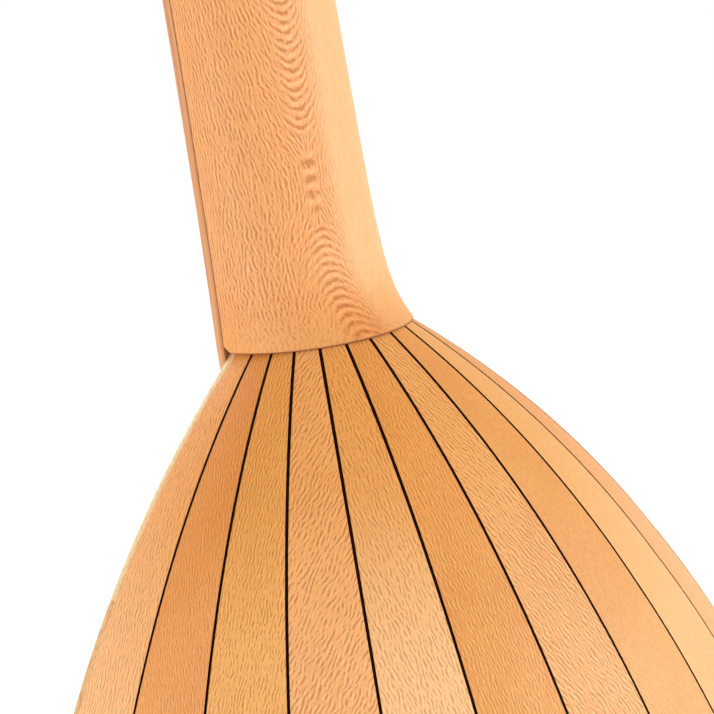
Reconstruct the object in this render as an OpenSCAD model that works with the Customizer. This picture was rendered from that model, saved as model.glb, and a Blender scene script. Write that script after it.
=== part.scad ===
// Baglama saz: a long-necked lute with a bowl built up from bent staves.
// The neck runs along Z with the head at the top. The soundboard faces -Y and
// the back of the bowl faces +Y. The origin is in the hole through the head's
// tip, by which the instrument hangs.

/* [Scale] */
// Sounding length of the strings, from nut to bridge
scale_length = 880; // [820:5:900]
// Distance of the bridge from the tail end of the bowl
bridge_to_tail = 80; // [70:1:90]
// Number of tied frets on the neck
fret_count = 17; // [17:1:17]

/* [Bowl] */
// Length of the bowl, from the heel of the neck to the tail
bowl_length = 400; // [380:5:420]
// Half width of the bowl where it meets the neck
heel_half_width = 21; // [19:0.5:22]
// Depth of the bowl where it meets the neck
heel_depth = 26.9; // [25:0.1:28]
// Half width at which the shoulder's own arc would be level
shoulder_half_width = 114.3; // [108:0.1:118]
// Distance from the heel at which the shoulder's own arc would be level
shoulder_half_run = 199; // [190:1:210]
// Depth at which the shoulder's back arc would be level
shoulder_depth = 99.8; // [95:0.1:105]
// Distance from the heel at which the shoulder's back arc would be level
shoulder_depth_run = 167; // [160:1:175]
// Length of the shoulder, where the flatter belly arc takes over
shoulder_length = 85; // [75:1:95]
// Distance of the widest and deepest section from the heel
belly_position = 235; // [225:1:245]
// Number of staves around the bowl
stave_count = 13; // [13:2:13]
// Thickness of a stave
stave_thickness = 3; // [2.5:0.1:3.5]
// Width of the dark fillet let in between two staves
fillet_width = 0.8; // [0.4:0.1:1]

/* [Soundboard] */
// Thickness of the soundboard
board_thickness = 2; // [1.8:0.1:2.5]
// Width of the soundboard's pale middle piece
board_centre_width = 128; // [110:1:150]
// Diameter of the sound hole through the tail of the bowl
sound_hole_d = 15; // [12:0.5:16]

/* [Neck] */
// Half width of the neck at the nut
nut_half_width = 15; // [14:0.5:16]
// Half width that the straight taper would reach at the heel
neck_half_width = 21; // [20:0.1:22]
// Extra half width of the neck's flare at the heel
neck_flare_width = 2; // [1:0.1:2.5]
// Depth of the neck's round back at the nut
nut_depth = 14; // [13:0.1:15]
// Depth that the straight taper would reach at the heel
neck_depth = 15.9; // [15:0.1:17]
// Extra depth of the heel's cove where it sweeps out to the bowl
heel_flare_depth = 12.1; // [11:0.1:12.5]
// Thickness of the fingerboard
fingerboard_thickness = 3.2; // [3:0.1:3.6]
// Length of the fingerboard's tongue over the soundboard
tongue_length = 24; // [16:1:40]

/* [Head] */
// Distance from the nut to the hanging hole in the head's tip
head_length = 176; // [170:1:185]
// Diameter of the hanging hole
hanging_hole_d = 5; // [4:0.5:6]
// Diameter of a tuning peg's shank
peg_shank_d = 7.2; // [6.5:0.1:8]
// Distance between neighbouring pegs of one row
peg_pitch = 36; // [34:1:38]

/* [Strings] */
// Height of the bridge over the soundboard
bridge_height = 9; // [8:0.5:11]
// Height of the strings over the fingerboard at the nut
nut_rise = 1.2; // [1:0.1:1.6]
// Diameter of a plain string
plain_string_d = 0.3; // [0.2:0.05:0.4]
// Diameter of a wound string
wound_string_d = 0.55; // [0.4:0.05:0.7]
// Diameter of the nylon line that a fret is tied from
fret_line_d = 0.9; // [0.7:0.05:1]

/* [Hidden] */

$fn = 48;
wood_pink = [0.88, 0.62, 0.41];
wood_yellow = [0.87, 0.63, 0.35];
wood_dark = [0.20, 0.08, 0.03];
wood_neck = [0.92, 0.67, 0.43];
wood_pale = [0.93, 0.80, 0.60];
wood_board_edge = [0.74, 0.48, 0.28];
wood_peg = [0.23, 0.12, 0.07];
bone = [0.93, 0.90, 0.82];
brass = [0.80, 0.62, 0.30];
steel = [0.78, 0.78, 0.78];
nylon = [0.88, 0.86, 0.76];

// Heights along Z
nut_z = -head_length;
free_neck_length = scale_length - (bowl_length - bridge_to_tail);
heel_z = nut_z - free_neck_length;
bridge_z = nut_z - scale_length;

// Levels along Y
board_y = -board_thickness;
fingerboard_y = board_y - fingerboard_thickness;
string_y_nut = fingerboard_y - nut_rise;
string_y_bridge = board_y - bridge_height;
glue_gap = 0.1;

// ---------------------------------------------------------------- bowl form
// The outline and the back profile are each a shoulder arc, a flatter belly
// arc that leaves it without a kink, and a quarter ellipse at the tail.
tail_run = bowl_length - belly_position;

function arc_radius(start, top, run) = (pow(top - start, 2) + run * run) / (2 * (top - start));
function shoulder_arc(s, start, top, run) =
    let (r = arc_radius(start, top, run)) top - r + sqrt(r * r - pow(run - s, 2));
function shoulder_slope(start, top, run) = asin((run - shoulder_length) / arc_radius(start, top, run));
function belly_radius(start, top, run) =
    (belly_position - shoulder_length) / sin(shoulder_slope(start, top, run));
function front_profile(s, start, top, run) =
    s <= shoulder_length ? shoulder_arc(s, start, top, run)
    : let (r = belly_radius(start, top, run))
      shoulder_arc(shoulder_length, start, top, run)
      + r * (cos(asin((belly_position - s) / r)) - cos(shoulder_slope(start, top, run)));
function front_slope(s, start, top, run) =
    s <= shoulder_length ? asin((run - s) / arc_radius(start, top, run))
    : asin((belly_position - s) / belly_radius(start, top, run));
function outline_front(s) = front_profile(s, heel_half_width, shoulder_half_width, shoulder_half_run);
function depth_front(s) = front_profile(s, heel_depth, shoulder_depth, shoulder_depth_run);
belly_half_width = outline_front(belly_position);
belly_depth = depth_front(belly_position);

// Stations run from the heel to the tail, closer together where the bowl bends most
front_stations = 16;
tail_stations = 13;
station_count = front_stations + tail_stations;
tail_end_angle = 81.2;
function front_s(k) = belly_position * pow(k / front_stations, 1.5);
function tail_angle(k) = tail_end_angle * (1 - pow(1 - (k - front_stations) / tail_stations, 1.4));

// A section is [half width, depth, distance from heel, roundness], set in from the outside by inset
function section_roundness(s) = 2.276 + (2.06 - 2.276) * min(1, s / 60);
function front_section(s, inset) = [
    outline_front(s) - inset / cos(front_slope(s, heel_half_width, shoulder_half_width, shoulder_half_run)),
    depth_front(s) - inset / cos(front_slope(s, heel_depth, shoulder_depth, shoulder_depth_run)),
    s, section_roundness(s)];
function tail_section(angle, inset) = [
    (belly_half_width - inset) * cos(angle), (belly_depth - inset) * cos(angle),
    belly_position + (tail_run - inset) * sin(angle), section_roundness(belly_position)];
function bowl_section(k, inset) =
    k <= front_stations ? front_section(front_s(k), inset) : tail_section(tail_angle(k), inset);

// Points of a section, from the +X rim over the back to the -X rim
section_steps = 60;
function round_point(angle, sec) = [
    sec[0] * sign(cos(angle)) * pow(abs(cos(angle)), 2 / sec[3]),
    sec[1] * pow(abs(sin(angle)), 2 / sec[3])];
function section_points(sec, steps) = [for (i = [0:steps]) round_point(180 * i / steps, sec)];
function running_girth(p) =
    [for (i = 0, g = 0; i < len(p); g = g + (i < len(p) - 1 ? norm(p[i + 1] - p[i]) : 0), i = i + 1) g];
// Point at a distance along the section's girth, given as a share of it and an offset from there
function girth_point(sec, share, offset) =
    let (g = running_girth(section_points(sec, section_steps)),
         total = g[section_steps],
         angle = lookup(share * total + offset,
                        [for (i = [0:section_steps]) [g[i], 180 * i / section_steps]]),
         p = round_point(angle, sec))
    [p[0], p[1], heel_z - sec[2]];

// Rows of points for the strip of bowl wall between two shares of the girth
function wall_grid(from, to, from_offset, to_offset, columns, inset, first, last) =
    [for (k = [first:last])
        let (sec = bowl_section(k, inset))
        [for (m = [0:columns])
            girth_point(sec, from + (to - from) * m / columns,
                        from_offset + (to_offset - from_offset) * m / columns)]];

// Closed shell between an outer and an inner grid of points
function grid_index(grid, layer, k, m) = (layer * len(grid) + k) * len(grid[0]) + m;
module shell(outer, inner) {
    rows = len(outer) - 1;
    cols = len(outer[0]) - 1;
    function o(k, m) = grid_index(outer, 0, k, m);
    function i(k, m) = grid_index(outer, 1, k, m);
    polyhedron(
        points = concat([for (row = outer) each row], [for (row = inner) each row]),
        faces = concat(
            [for (k = [0:rows - 1], m = [0:cols - 1]) each [
                [o(k, m), o(k, m + 1), o(k + 1, m + 1)], [o(k, m), o(k + 1, m + 1), o(k + 1, m)],
                [i(k, m), i(k + 1, m + 1), i(k, m + 1)], [i(k, m), i(k + 1, m), i(k + 1, m + 1)]]],
            [for (k = [0:rows - 1]) each [
                [o(k, 0), o(k + 1, 0), i(k + 1, 0)], [o(k, 0), i(k + 1, 0), i(k, 0)],
                [o(k, cols), i(k + 1, cols), o(k + 1, cols)], [o(k, cols), i(k, cols), i(k + 1, cols)]]],
            [for (m = [0:cols - 1]) each [
                [o(0, m + 1), o(0, m), i(0, m)], [o(0, m + 1), i(0, m), i(0, m + 1)],
                [o(rows, m), o(rows, m + 1), i(rows, m + 1)], [o(rows, m), i(rows, m + 1), i(rows, m)]]]));
}

// Solid through a row of rings that are listed from the top down
module loft(rings) {
    rows = len(rings) - 1;
    n = len(rings[0]);
    polyhedron(
        points = [for (ring = rings) each ring],
        faces = concat(
            [for (k = [0:rows - 1], m = [0:n - 1]) each [
                [k * n + m, k * n + (m + 1) % n, (k + 1) * n + (m + 1) % n],
                [k * n + m, (k + 1) * n + (m + 1) % n, (k + 1) * n + m]]],
            [[for (m = [n - 1:-1:0]) m], [for (m = [0:n - 1]) rows * n + m]]));
}

// The sound hole is square to the tail's surface, behind the tail block
sound_hole_y = 31;
sound_hole_angle = acos(sound_hole_y / belly_depth);
sound_hole_z = heel_z - belly_position - tail_run * sin(sound_hole_angle);
sound_hole_tilt = atan(tail_run / belly_depth / tan(sound_hole_angle));
module at_sound_hole() {
    translate([0, sound_hole_y, sound_hole_z]) rotate([180 + sound_hole_tilt, 0, 0]) children();
}
module sound_hole_bore() {
    at_sound_hole() cylinder(h = 40, d = sound_hole_d, center = true);
}

module stave(number) {
    half = fillet_width / 2;
    from_offset = number == 1 ? 0 : half;
    to_offset = number == stave_count ? 0 : -half;
    color(number % 2 == 0 ? wood_pink : wood_yellow)
    difference() {
        shell(wall_grid((number - 1) / stave_count, number / stave_count, from_offset, to_offset, 3,
                        0, 0, station_count),
              wall_grid((number - 1) / stave_count, number / stave_count, from_offset, to_offset, 3,
                        stave_thickness, 0, station_count));
        if (abs(number - (stave_count + 1) / 2) < 2.5) sound_hole_bore();
    }
}

module fillets() {
    half = fillet_width / 2;
    color(wood_dark)
    for (j = [1:stave_count - 1])
        difference() {
            shell(wall_grid(j / stave_count, j / stave_count, -half, half, 1, 0, 0, station_count),
                  wall_grid(j / stave_count, j / stave_count, -half, half, 1,
                            stave_thickness, 0, station_count));
            if (abs(j - stave_count / 2) < 2) sound_hole_bore();
        }
}

// ---------------------------------------------------------------- inside the bowl
block_steps = 16;
function block_ring(sec) =
    [for (p = section_points(sec, block_steps)) [p[0], p[1], heel_z - sec[2]]];

module neck_block() {
    block_length = 55;
    color(wood_pale)
    loft([for (i = [0:6]) block_ring(front_section(block_length * i / 6, stave_thickness + glue_gap * 2))]);
}

module tail_block() {
    block_depth = 20;
    block_gap = 0.6;
    color(wood_pale)
    intersection() {
        loft([for (i = [0:5]) block_ring(tail_section(48 + 6.4 * i, stave_thickness + block_gap))]);
        translate([-60, 0, heel_z - bowl_length]) cube([120, block_depth, 60]);
    }
}

lining_width = 5;
lining_depth = 7;
lining_gap = 0.7;
function lining_stations() = [for (i = [0:12]) 64 + 270 * i / 12];
function lining_edge(s, y) =
    let (sec = s <= belly_position ? front_section(s, stave_thickness + lining_gap)
             : tail_section(asin((s - belly_position) / (tail_run - stave_thickness)),
                            stave_thickness + lining_gap))
    sec[0] * pow(1 - pow(y / sec[1], sec[3]), 1 / sec[3]);
module linings() {
    color(wood_pale)
    for (side = [0, 1])
        mirror([side, 0, 0])
            loft([for (s = lining_stations())
                let (top = lining_edge(s, 0), low = lining_edge(s, lining_depth), z = heel_z - s)
                [[top, 0, z], [low, lining_depth, z], [low - 2, lining_depth, z], [top - lining_width, 0, z]]]);
}

module braces() {
    brace_depth = 10;
    brace_thickness = 6;
    color(wood_pale)
    for (s = [118, 300]) {
        half = lining_edge(s - brace_thickness, brace_depth) - lining_width - 1.5;
        translate([-half, 0, heel_z - s]) cube([2 * half, brace_depth, brace_thickness]);
    }
}

// ---------------------------------------------------------------- soundboard
board_steps = 30;
function board_edge() = concat(
    [for (i = [0:board_steps]) let (s = belly_position * i / board_steps) [outline_front(s), heel_z - s]],
    [for (i = [1:board_steps]) let (a = 90 * i / board_steps)
        [belly_half_width * cos(a), heel_z - belly_position - tail_run * sin(a)]]);
module board_plate() {
    edge = board_edge();
    // The plate is drawn in X and Z and stands on the plane of the rim
    rotate([90, 0, 0])
        linear_extrude(board_thickness)
            polygon(concat(edge, [for (i = [len(edge) - 2:-1:0]) [-edge[i][0], edge[i][1]]]));
}
module board_side(side) {
    color(wood_yellow)
    intersection() {
        board_plate();
        mirror([side, 0, 0])
            translate([board_centre_width / 2, -board_thickness - 1, heel_z - bowl_length - 1])
                cube([200, board_thickness + 2, bowl_length + 2]);
    }
}
module soundboard_centre() {
    color(wood_pale)
    intersection() {
        board_plate();
        translate([-board_centre_width / 2, -board_thickness - 1, heel_z - bowl_length - 1])
            cube([board_centre_width, board_thickness + 2, bowl_length + 2]);
    }
}
module soundboard_treble() { board_side(0); }
module soundboard_bass() { board_side(1); }

// ---------------------------------------------------------------- neck
width_flare_length = 45;
depth_flare_length = 7.75;
neck_roundness = 2.05;
function neck_half(h) = nut_half_width + (neck_half_width - nut_half_width) * (1 - h / free_neck_length)
    + neck_flare_width * exp(-h / width_flare_length);
function neck_deep(h) = nut_depth + (neck_depth - nut_depth) * (1 - h / free_neck_length)
    + heel_flare_depth * exp(-h / depth_flare_length);
// Heights of the neck's rings over the heel, close together in the cove
neck_rings = 20;
function neck_height(i) = free_neck_length * pow(i / neck_rings, 3.2);
neck_steps = 20;
function handle_ring(half, deep, roundness, z, grow, front) = concat(
    [[half + grow, front - grow, z]],
    [for (p = section_points([half + grow, deep + grow, 0, roundness], neck_steps)) [p[0], p[1], z]],
    [[-half - grow, front - grow, z]]);

module neck() {
    color(wood_neck)
    loft([for (i = [neck_rings:-1:0])
        let (h = neck_height(i))
        handle_ring(neck_half(h), neck_deep(h), neck_roundness, heel_z + h, 0, board_y)]);
}

module fingerboard() {
    right = [for (i = [neck_rings:-1:0]) let (h = neck_height(i)) [neck_half(h), heel_z + h]];
    tongue_half = neck_half(0);
    tongue_round = 14;
    tongue_steps = 12;
    tip = [for (i = [0:tongue_steps]) let (a = 180 * i / tongue_steps)
        [tongue_half * cos(a), heel_z - tongue_length + tongue_round - tongue_round * sin(a)]];
    color(wood_board_edge)
    translate([0, board_y, 0])
        rotate([90, 0, 0])
            linear_extrude(fingerboard_thickness)
                polygon(concat(right, tip, [for (i = [len(right) - 1:-1:0]) [-right[i][0], right[i][1]]]));
}

// ---------------------------------------------------------------- head
// The head starts with the neck's own section and grows squarer, then rounds off at its tip
tip_length = 14;
head_end = head_length + tip_length;
head_rings = 12;
tip_rings = 5;
head_square = 3.6;
head_half_top = 12.5;
head_deep = 17;
function head_half(h) = nut_half_width + (head_half_top - nut_half_width) * h / head_length;
function head_ease(h) = let (t = min(1, h / 45)) t * t * (3 - 2 * t);
function head_ring(h, shrink) = handle_ring(
    head_half(h) * shrink, (nut_depth + (head_deep - nut_depth) * head_ease(h)) * (0.5 + 0.5 * shrink),
    neck_roundness + (head_square - neck_roundness) * head_ease(h), nut_z + h, 0, board_y);
function tip_shrink(i) = sqrt(1 - pow(0.94 * i / tip_rings, 2));

front_peg_count = 4;
peg_count = 7;
peg_row_start = 38;
side_peg_y = 2.5;
function is_front(p) = p <= front_peg_count;
function peg_height(p) =
    is_front(p) ? peg_row_start + peg_pitch * (p - 1)
    : peg_row_start + peg_pitch / 2 + peg_pitch * (p - front_peg_count - 1);
function front_peg_x(p) = 1 + 1.5 * (p - 1);
shank_radius = peg_shank_d / 2;
shank_clearance = 0.04;
bore_length = 60;

// Puts a peg, drawn along Z with the head's face at zero, into its place in the head
module at_peg(p) {
    if (is_front(p))
        translate([front_peg_x(p), board_y, nut_z + peg_height(p)]) rotate([90, 0, 0]) children();
    else
        translate([-head_half(peg_height(p)), side_peg_y, nut_z + peg_height(p)])
            rotate([0, -90, 0]) children();
}

module head() {
    color(wood_neck)
    difference() {
        loft(concat(
            [for (i = [tip_rings:-1:1]) head_ring(head_length + tip_length * i / tip_rings, tip_shrink(i))],
            [for (i = [head_rings:-1:0]) head_ring(head_length * i / head_rings, 1)]));
        for (p = [1:peg_count])
            at_peg(p)
                translate([0, 0, -bore_length / 2]) cylinder(h = bore_length, r = shank_radius + shank_clearance);
        rotate([90, 0, 0]) cylinder(h = bore_length, d = hanging_hole_d, center = true);
    }
}

shank_free = 15;
shank_below = 21;
side_shank_below = 31;
collar_d = 10.5;
collar_thickness = 2.2;
handle_height = 19;
handle_width = 25;
handle_thickness = 8;
module peg(p) {
    below = is_front(p) ? shank_below : side_shank_below;
    color(wood_peg)
    at_peg(p) {
        translate([0, 0, -below]) cylinder(h = below + shank_free, r = shank_radius);
        translate([0, 0, shank_free]) cylinder(h = collar_thickness, d = collar_d);
        translate([0, handle_thickness / 2, shank_free + collar_thickness])
            rotate([90, 0, 0]) linear_extrude(handle_thickness) peg_handle_outline();
    }
}
// Side view of the handle: a stem that spreads into a rounded cross bar
module peg_handle_outline() {
    bar_r = 4.2;
    bar_y = handle_height - bar_r;
    bar_x = handle_width / 2 - bar_r;
    hull() {
        translate([-bar_x, bar_y]) circle(r = bar_r, $fn = 32);
        translate([bar_x, bar_y]) circle(r = bar_r, $fn = 32);
    }
    polygon([[-3.6, 0], [3.6, 0], [4.2, 6], [bar_x - 1, bar_y - 1], [-bar_x + 1, bar_y - 1], [-4.2, 6]]);
}

// ---------------------------------------------------------------- strings and what carries them
cap_thickness = 1.6;
string_count = 7;
course_of = [0, 0, 0, 1, 1, 2, 2];
place_in_course = [1, 0, -1, 0.5, -0.5, 0.5, -0.5];
peg_of = [4, 3, 2, 1, 7, 6, 5];
nut_course_x = [8.5, 0, -8.5];
bridge_course_x = [18, 0, -18];
nut_spacing = 1.9;
bridge_spacing = 2.6;
pin_spacing = 4.4;
nut_length = 4;
bridge_length = 4;
bridge_width = 58;
saddle_s = 391;
saddle_height = 2.4;
pad_angle = 81.6;
pad_z = heel_z - belly_position - (tail_run + cap_thickness) * sin(pad_angle);
tailpiece_length = 10;
tailpiece_width = 35;
tailpiece_y = 0.6;
pin_z = pad_z - 5.5;
pin_radius = 1.1;
pin_top_y = -4.2;
string_y_saddle = board_y - saddle_height;
winding_gap = 0.3;
cord_level = 7;

function string_radius(i) = (i == 2 || i == 4 || i == 5 ? wound_string_d : plain_string_d) / 2;
function nut_x(i) = nut_course_x[course_of[i]] + place_in_course[i] * nut_spacing;
function bridge_x(i) = bridge_course_x[course_of[i]] + place_in_course[i] * bridge_spacing;
function pin_x(i) = (3 - i) * pin_spacing;
function saddle_x(i) =
    bridge_x(i) + (pin_x(i) - bridge_x(i)) * (bridge_z - (heel_z - saddle_s)) / (bridge_z - pin_z);
function at_nut(i) = [nut_x(i), string_y_nut, nut_z + nut_length];
function at_bridge(i) = [bridge_x(i), string_y_bridge, bridge_z];
function at_saddle(i) = [saddle_x(i), string_y_saddle, heel_z - saddle_s];
function at_pin(i) = [pin_x(i), -2.6, pin_z + pin_radius + string_radius(i) + 0.05];
function at_winding(i) =
    let (p = peg_of[i], z = nut_z + peg_height(p), clear = shank_radius + string_radius(i) + winding_gap)
    is_front(p) ? [front_peg_x(p) + clear, board_y - cord_level + 2.6, z]
    : [-head_half(peg_height(p)) - cord_level + 2.6, side_peg_y - clear, z];

// A string is one sweep of level rings through the points that it bends at
string_sides = 8;
function level_ring(p, r) =
    [for (m = [0:string_sides - 1])
        [p[0] + r * cos(360 * m / string_sides), p[1] + r * sin(360 * m / string_sides), p[2]]];
module course(c) {
    color(steel)
    for (i = [0:string_count - 1])
        if (course_of[i] == c)
            loft([for (p = [at_winding(i), at_nut(i), at_bridge(i), at_saddle(i), at_pin(i)])
                level_ring(p, string_radius(i))]);
}
// Groove for a string, a round slot along Z through the point that it bends at
module string_slot(p, r, length) {
    translate([p[0], p[1], p[2] - length / 2]) cylinder(h = length, r = r);
}

slot_clearance = 0.12;
module nut() {
    color(bone)
    difference() {
        translate([-nut_half_width, string_y_nut - 0.35, nut_z + 0.02])
            cube([2 * nut_half_width, board_y - string_y_nut + 0.35, nut_length]);
        for (i = [0:string_count - 1])
            string_slot(at_nut(i), string_radius(i) + slot_clearance, 3 * nut_length);
    }
}

// Three-footed bridge that stands free on the soundboard under the strings
module bridge() {
    foot_gap_r = 5.2;
    foot_gap_x = 13.5;
    shoulder = 4.6;
    slot_depth = 0.25;
    bridge_slot_clearance = 0.6;
    stand_clear = 0.02;
    color(wood_dark)
    difference() {
        translate([0, 0, bridge_z - bridge_length / 2])
            linear_extrude(bridge_length)
                difference() {
                    polygon([
                        [-bridge_width / 2, board_y - stand_clear], [bridge_width / 2, board_y - stand_clear],
                        [bridge_width / 2 - 1, board_y - shoulder],
                        [bridge_width / 2 - 7, string_y_bridge - slot_depth],
                        [-bridge_width / 2 + 7, string_y_bridge - slot_depth],
                        [-bridge_width / 2 + 1, board_y - shoulder]]);
                    for (side = [-1, 1]) translate([side * foot_gap_x, board_y]) circle(r = foot_gap_r);
                }
        for (i = [0:string_count - 1])
            string_slot(at_bridge(i), string_radius(i) + bridge_slot_clearance, 2 * bridge_length);
    }
}

module tail_saddle() {
    saddle_width = 42;
    saddle_length = 4;
    saddle_slot_clearance = 0.35;
    color(bone)
    difference() {
        translate([-saddle_width / 2, string_y_saddle - 0.3, heel_z - saddle_s - saddle_length / 2])
            cube([saddle_width, board_y - string_y_saddle + 0.3, saddle_length]);
        for (i = [0:string_count - 1])
            string_slot(at_saddle(i), string_radius(i) + saddle_slot_clearance, 2 * saddle_length);
    }
}

// ---------------------------------------------------------------- tail
cap_start_angle = 66;
cap_stations = 6;
cap_columns = 39;
function cap_ring(k, outset) =
    let (sec = tail_section(cap_start_angle + (pad_angle - cap_start_angle) * k / cap_stations, -outset))
    [for (m = [0:cap_columns]) girth_point(sec, m / cap_columns, 0)];
// Leaf over the staves' ends, closed by a flat pad that carries the tailpiece
module tail_cap() {
    outer = [for (k = [0:cap_stations]) cap_ring(k, cap_thickness)];
    inner = [for (k = [0:cap_stations]) cap_ring(k, glue_gap)];
    rows = cap_stations;
    cols = cap_columns;
    function o(k, m) = grid_index(outer, 0, k, m);
    function i(k, m) = grid_index(outer, 1, k, m);
    color(wood_dark)
    difference() {
        polyhedron(
            points = concat([for (row = outer) each row], [for (row = inner) each row]),
            faces = concat(
                [for (k = [0:rows - 1], m = [0:cols - 1]) each [
                    [o(k, m), o(k, m + 1), o(k + 1, m + 1)], [o(k, m), o(k + 1, m + 1), o(k + 1, m)],
                    [i(k, m), i(k + 1, m + 1), i(k, m + 1)], [i(k, m), i(k + 1, m), i(k + 1, m + 1)]]],
                [for (k = [0:rows - 1]) each [
                    [o(k, 0), o(k + 1, 0), i(k + 1, 0)], [o(k, 0), i(k + 1, 0), i(k, 0)],
                    [o(k, cols), i(k + 1, cols), o(k + 1, cols)], [o(k, cols), i(k, cols), i(k + 1, cols)]]],
                [for (m = [0:cols - 1]) each [
                    [o(0, m + 1), o(0, m), i(0, m)], [o(0, m + 1), i(0, m), i(0, m + 1)]]],
                [[for (m = [0:cols]) o(rows, m)], [for (m = [cols:-1:0]) i(rows, m)],
                 [i(rows, 0), o(rows, 0), o(rows, cols), i(rows, cols)]]));
        sound_hole_bore();
    }
}

module tailpiece() {
    block_depth = 13;
    corner = 3;
    color(wood_dark)
    difference() {
        translate([0, 0, pad_z - tailpiece_length])
            linear_extrude(tailpiece_length)
                hull() {
                    for (side = [-1, 1]) {
                        translate([side * (tailpiece_width / 2 - corner), tailpiece_y + block_depth - corner])
                            circle(r = corner, $fn = 32);
                        translate([side * (tailpiece_width / 2 - 0.5), tailpiece_y + 0.5])
                            circle(r = 0.5, $fn = 32);
                    }
                }
        for (i = [0:string_count - 1])
            translate([pin_x(i), tailpiece_y + 7, pin_z])
                rotate([90, 0, 0]) cylinder(h = 20, r = pin_radius + 0.01);
    }
}

module tail_pins() {
    color(brass)
    for (i = [0:string_count - 1])
        translate([pin_x(i), tailpiece_y + 6.9, pin_z])
            rotate([90, 0, 0]) {
                cylinder(h = tailpiece_y + 6.9 - pin_top_y - 0.8, r = pin_radius);
                translate([0, 0, tailpiece_y + 6.9 - pin_top_y - 0.8]) cylinder(h = 0.8, r = pin_radius + 0.6);
            }
}

// Grommet that lines the sound hole and covers its edge from outside
module sound_hole_ring() {
    wall = 1.6;
    flange = 2.4;
    flange_thickness = 1.4;
    ring_depth = 7;
    inner_r = sound_hole_d / 2 - wall;
    outer_r = sound_hole_d / 2 - 0.05;
    flange_r = sound_hole_d / 2 + flange;
    color(wood_dark)
    at_sound_hole()
        rotate_extrude($fn = 64)
            polygon([
                [inner_r, -ring_depth], [outer_r, -ring_depth], [outer_r, cap_thickness],
                [flange_r, cap_thickness], [flange_r, cap_thickness + flange_thickness],
                [inner_r, cap_thickness + flange_thickness]]);
}

// ---------------------------------------------------------------- tied frets
// Distance of each fret from the nut, from its pitch over the open string in cents
fret_cents = [90, 150, 204, 294, 360, 408, 498, 588, 650, 702, 792, 855, 906, 996, 1060, 1110, 1200];
fret_turns = 4;
fret_clearance = 0.12;
function fret_place(f) = scale_length * (1 - pow(2, -fret_cents[f - 1] / 1200));
module fret(f) {
    band = fret_turns * fret_line_d;
    h = free_neck_length - fret_place(f);
    half = neck_half(h);
    deep = neck_deep(h);
    color(nylon)
    translate([0, 0, heel_z + h - band / 2])
        linear_extrude(band)
            difference() {
                polygon(flat_ring(half, deep, fret_clearance + fret_line_d));
                polygon(flat_ring(half, deep, fret_clearance));
            }
}
function flat_ring(half, deep, grow) =
    [for (p = handle_ring(half, deep, neck_roundness, 0, grow, fingerboard_y)) [p[0], p[1]]];

stave(1);  // stave_01
stave(2);  // stave_02
stave(3);  // stave_03
stave(4);  // stave_04
stave(5);  // stave_05
stave(6);  // stave_06
stave(7);  // stave_07
stave(8);  // stave_08
stave(9);  // stave_09
stave(10);  // stave_10
stave(11);  // stave_11
stave(12);  // stave_12
stave(13);  // stave_13
fillets();
neck_block();
tail_block();
linings();
braces();
soundboard_centre();
soundboard_treble();
soundboard_bass();
neck();
head();
fingerboard();
nut();
bridge();
tail_cap();
tail_saddle();
tailpiece();
tail_pins();
sound_hole_ring();
peg(1);  // peg_1
peg(2);  // peg_2
peg(3);  // peg_3
peg(4);  // peg_4
peg(5);  // peg_5
peg(6);  // peg_6
peg(7);  // peg_7
course(0);  // strings_treble
course(1);  // strings_middle
course(2);  // strings_bass
fret(1);  // fret_01
fret(2);  // fret_02
fret(3);  // fret_03
fret(4);  // fret_04
fret(5);  // fret_05
fret(6);  // fret_06
fret(7);  // fret_07
fret(8);  // fret_08
fret(9);  // fret_09
fret(10);  // fret_10
fret(11);  // fret_11
fret(12);  // fret_12
fret(13);  // fret_13
fret(14);  // fret_14
fret(15);  // fret_15
fret(16);  // fret_16
fret(17);  // fret_17
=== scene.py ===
"""Looks of a long-necked lute with a bowl built up from bent staves.

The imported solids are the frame. Every form below repeats the part's own named
sizes, in millimetres, and becomes metres where a mesh is made. Z runs up the
neck, the soundboard faces -Y and the back of the bowl faces +Y.
"""

import sys

import logging
import math
from dataclasses import dataclass, field
from enum import Enum
from typing import Any, Callable, Sequence

import bmesh
import bpy
from mathutils import Matrix, Vector


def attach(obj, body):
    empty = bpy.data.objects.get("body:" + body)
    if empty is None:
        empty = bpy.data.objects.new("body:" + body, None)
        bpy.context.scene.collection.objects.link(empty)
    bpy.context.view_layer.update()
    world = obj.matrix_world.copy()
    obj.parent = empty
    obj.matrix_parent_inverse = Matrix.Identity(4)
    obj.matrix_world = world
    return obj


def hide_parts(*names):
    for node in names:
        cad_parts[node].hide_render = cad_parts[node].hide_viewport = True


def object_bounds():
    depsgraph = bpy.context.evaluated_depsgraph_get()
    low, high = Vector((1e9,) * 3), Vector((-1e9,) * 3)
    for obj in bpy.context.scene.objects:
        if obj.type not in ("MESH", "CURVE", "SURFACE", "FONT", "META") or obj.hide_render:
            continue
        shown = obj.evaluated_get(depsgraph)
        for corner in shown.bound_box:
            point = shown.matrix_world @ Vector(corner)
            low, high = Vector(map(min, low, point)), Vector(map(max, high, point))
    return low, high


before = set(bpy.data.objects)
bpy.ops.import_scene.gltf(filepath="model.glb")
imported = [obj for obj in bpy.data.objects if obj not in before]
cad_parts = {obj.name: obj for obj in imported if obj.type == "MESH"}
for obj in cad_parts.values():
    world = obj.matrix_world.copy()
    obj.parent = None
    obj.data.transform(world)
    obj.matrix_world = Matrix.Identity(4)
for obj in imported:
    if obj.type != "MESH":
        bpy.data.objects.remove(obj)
CAD_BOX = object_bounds()
ROOT_BODY = "instrument"
WHITE = (1.0, 1.0, 1.0, 1.0)
MM = 0.001
HEEL_Z = -736.0
NUT_Z = -176.0
BRIDGE_Z = -1056.0
BOARD_Y = -2.0
FINGERBOARD_Y = -5.2
STRING_Y_NUT = -6.4
STRING_Y_BRIDGE = -11.0
STRING_Y_SADDLE = -4.4
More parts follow.
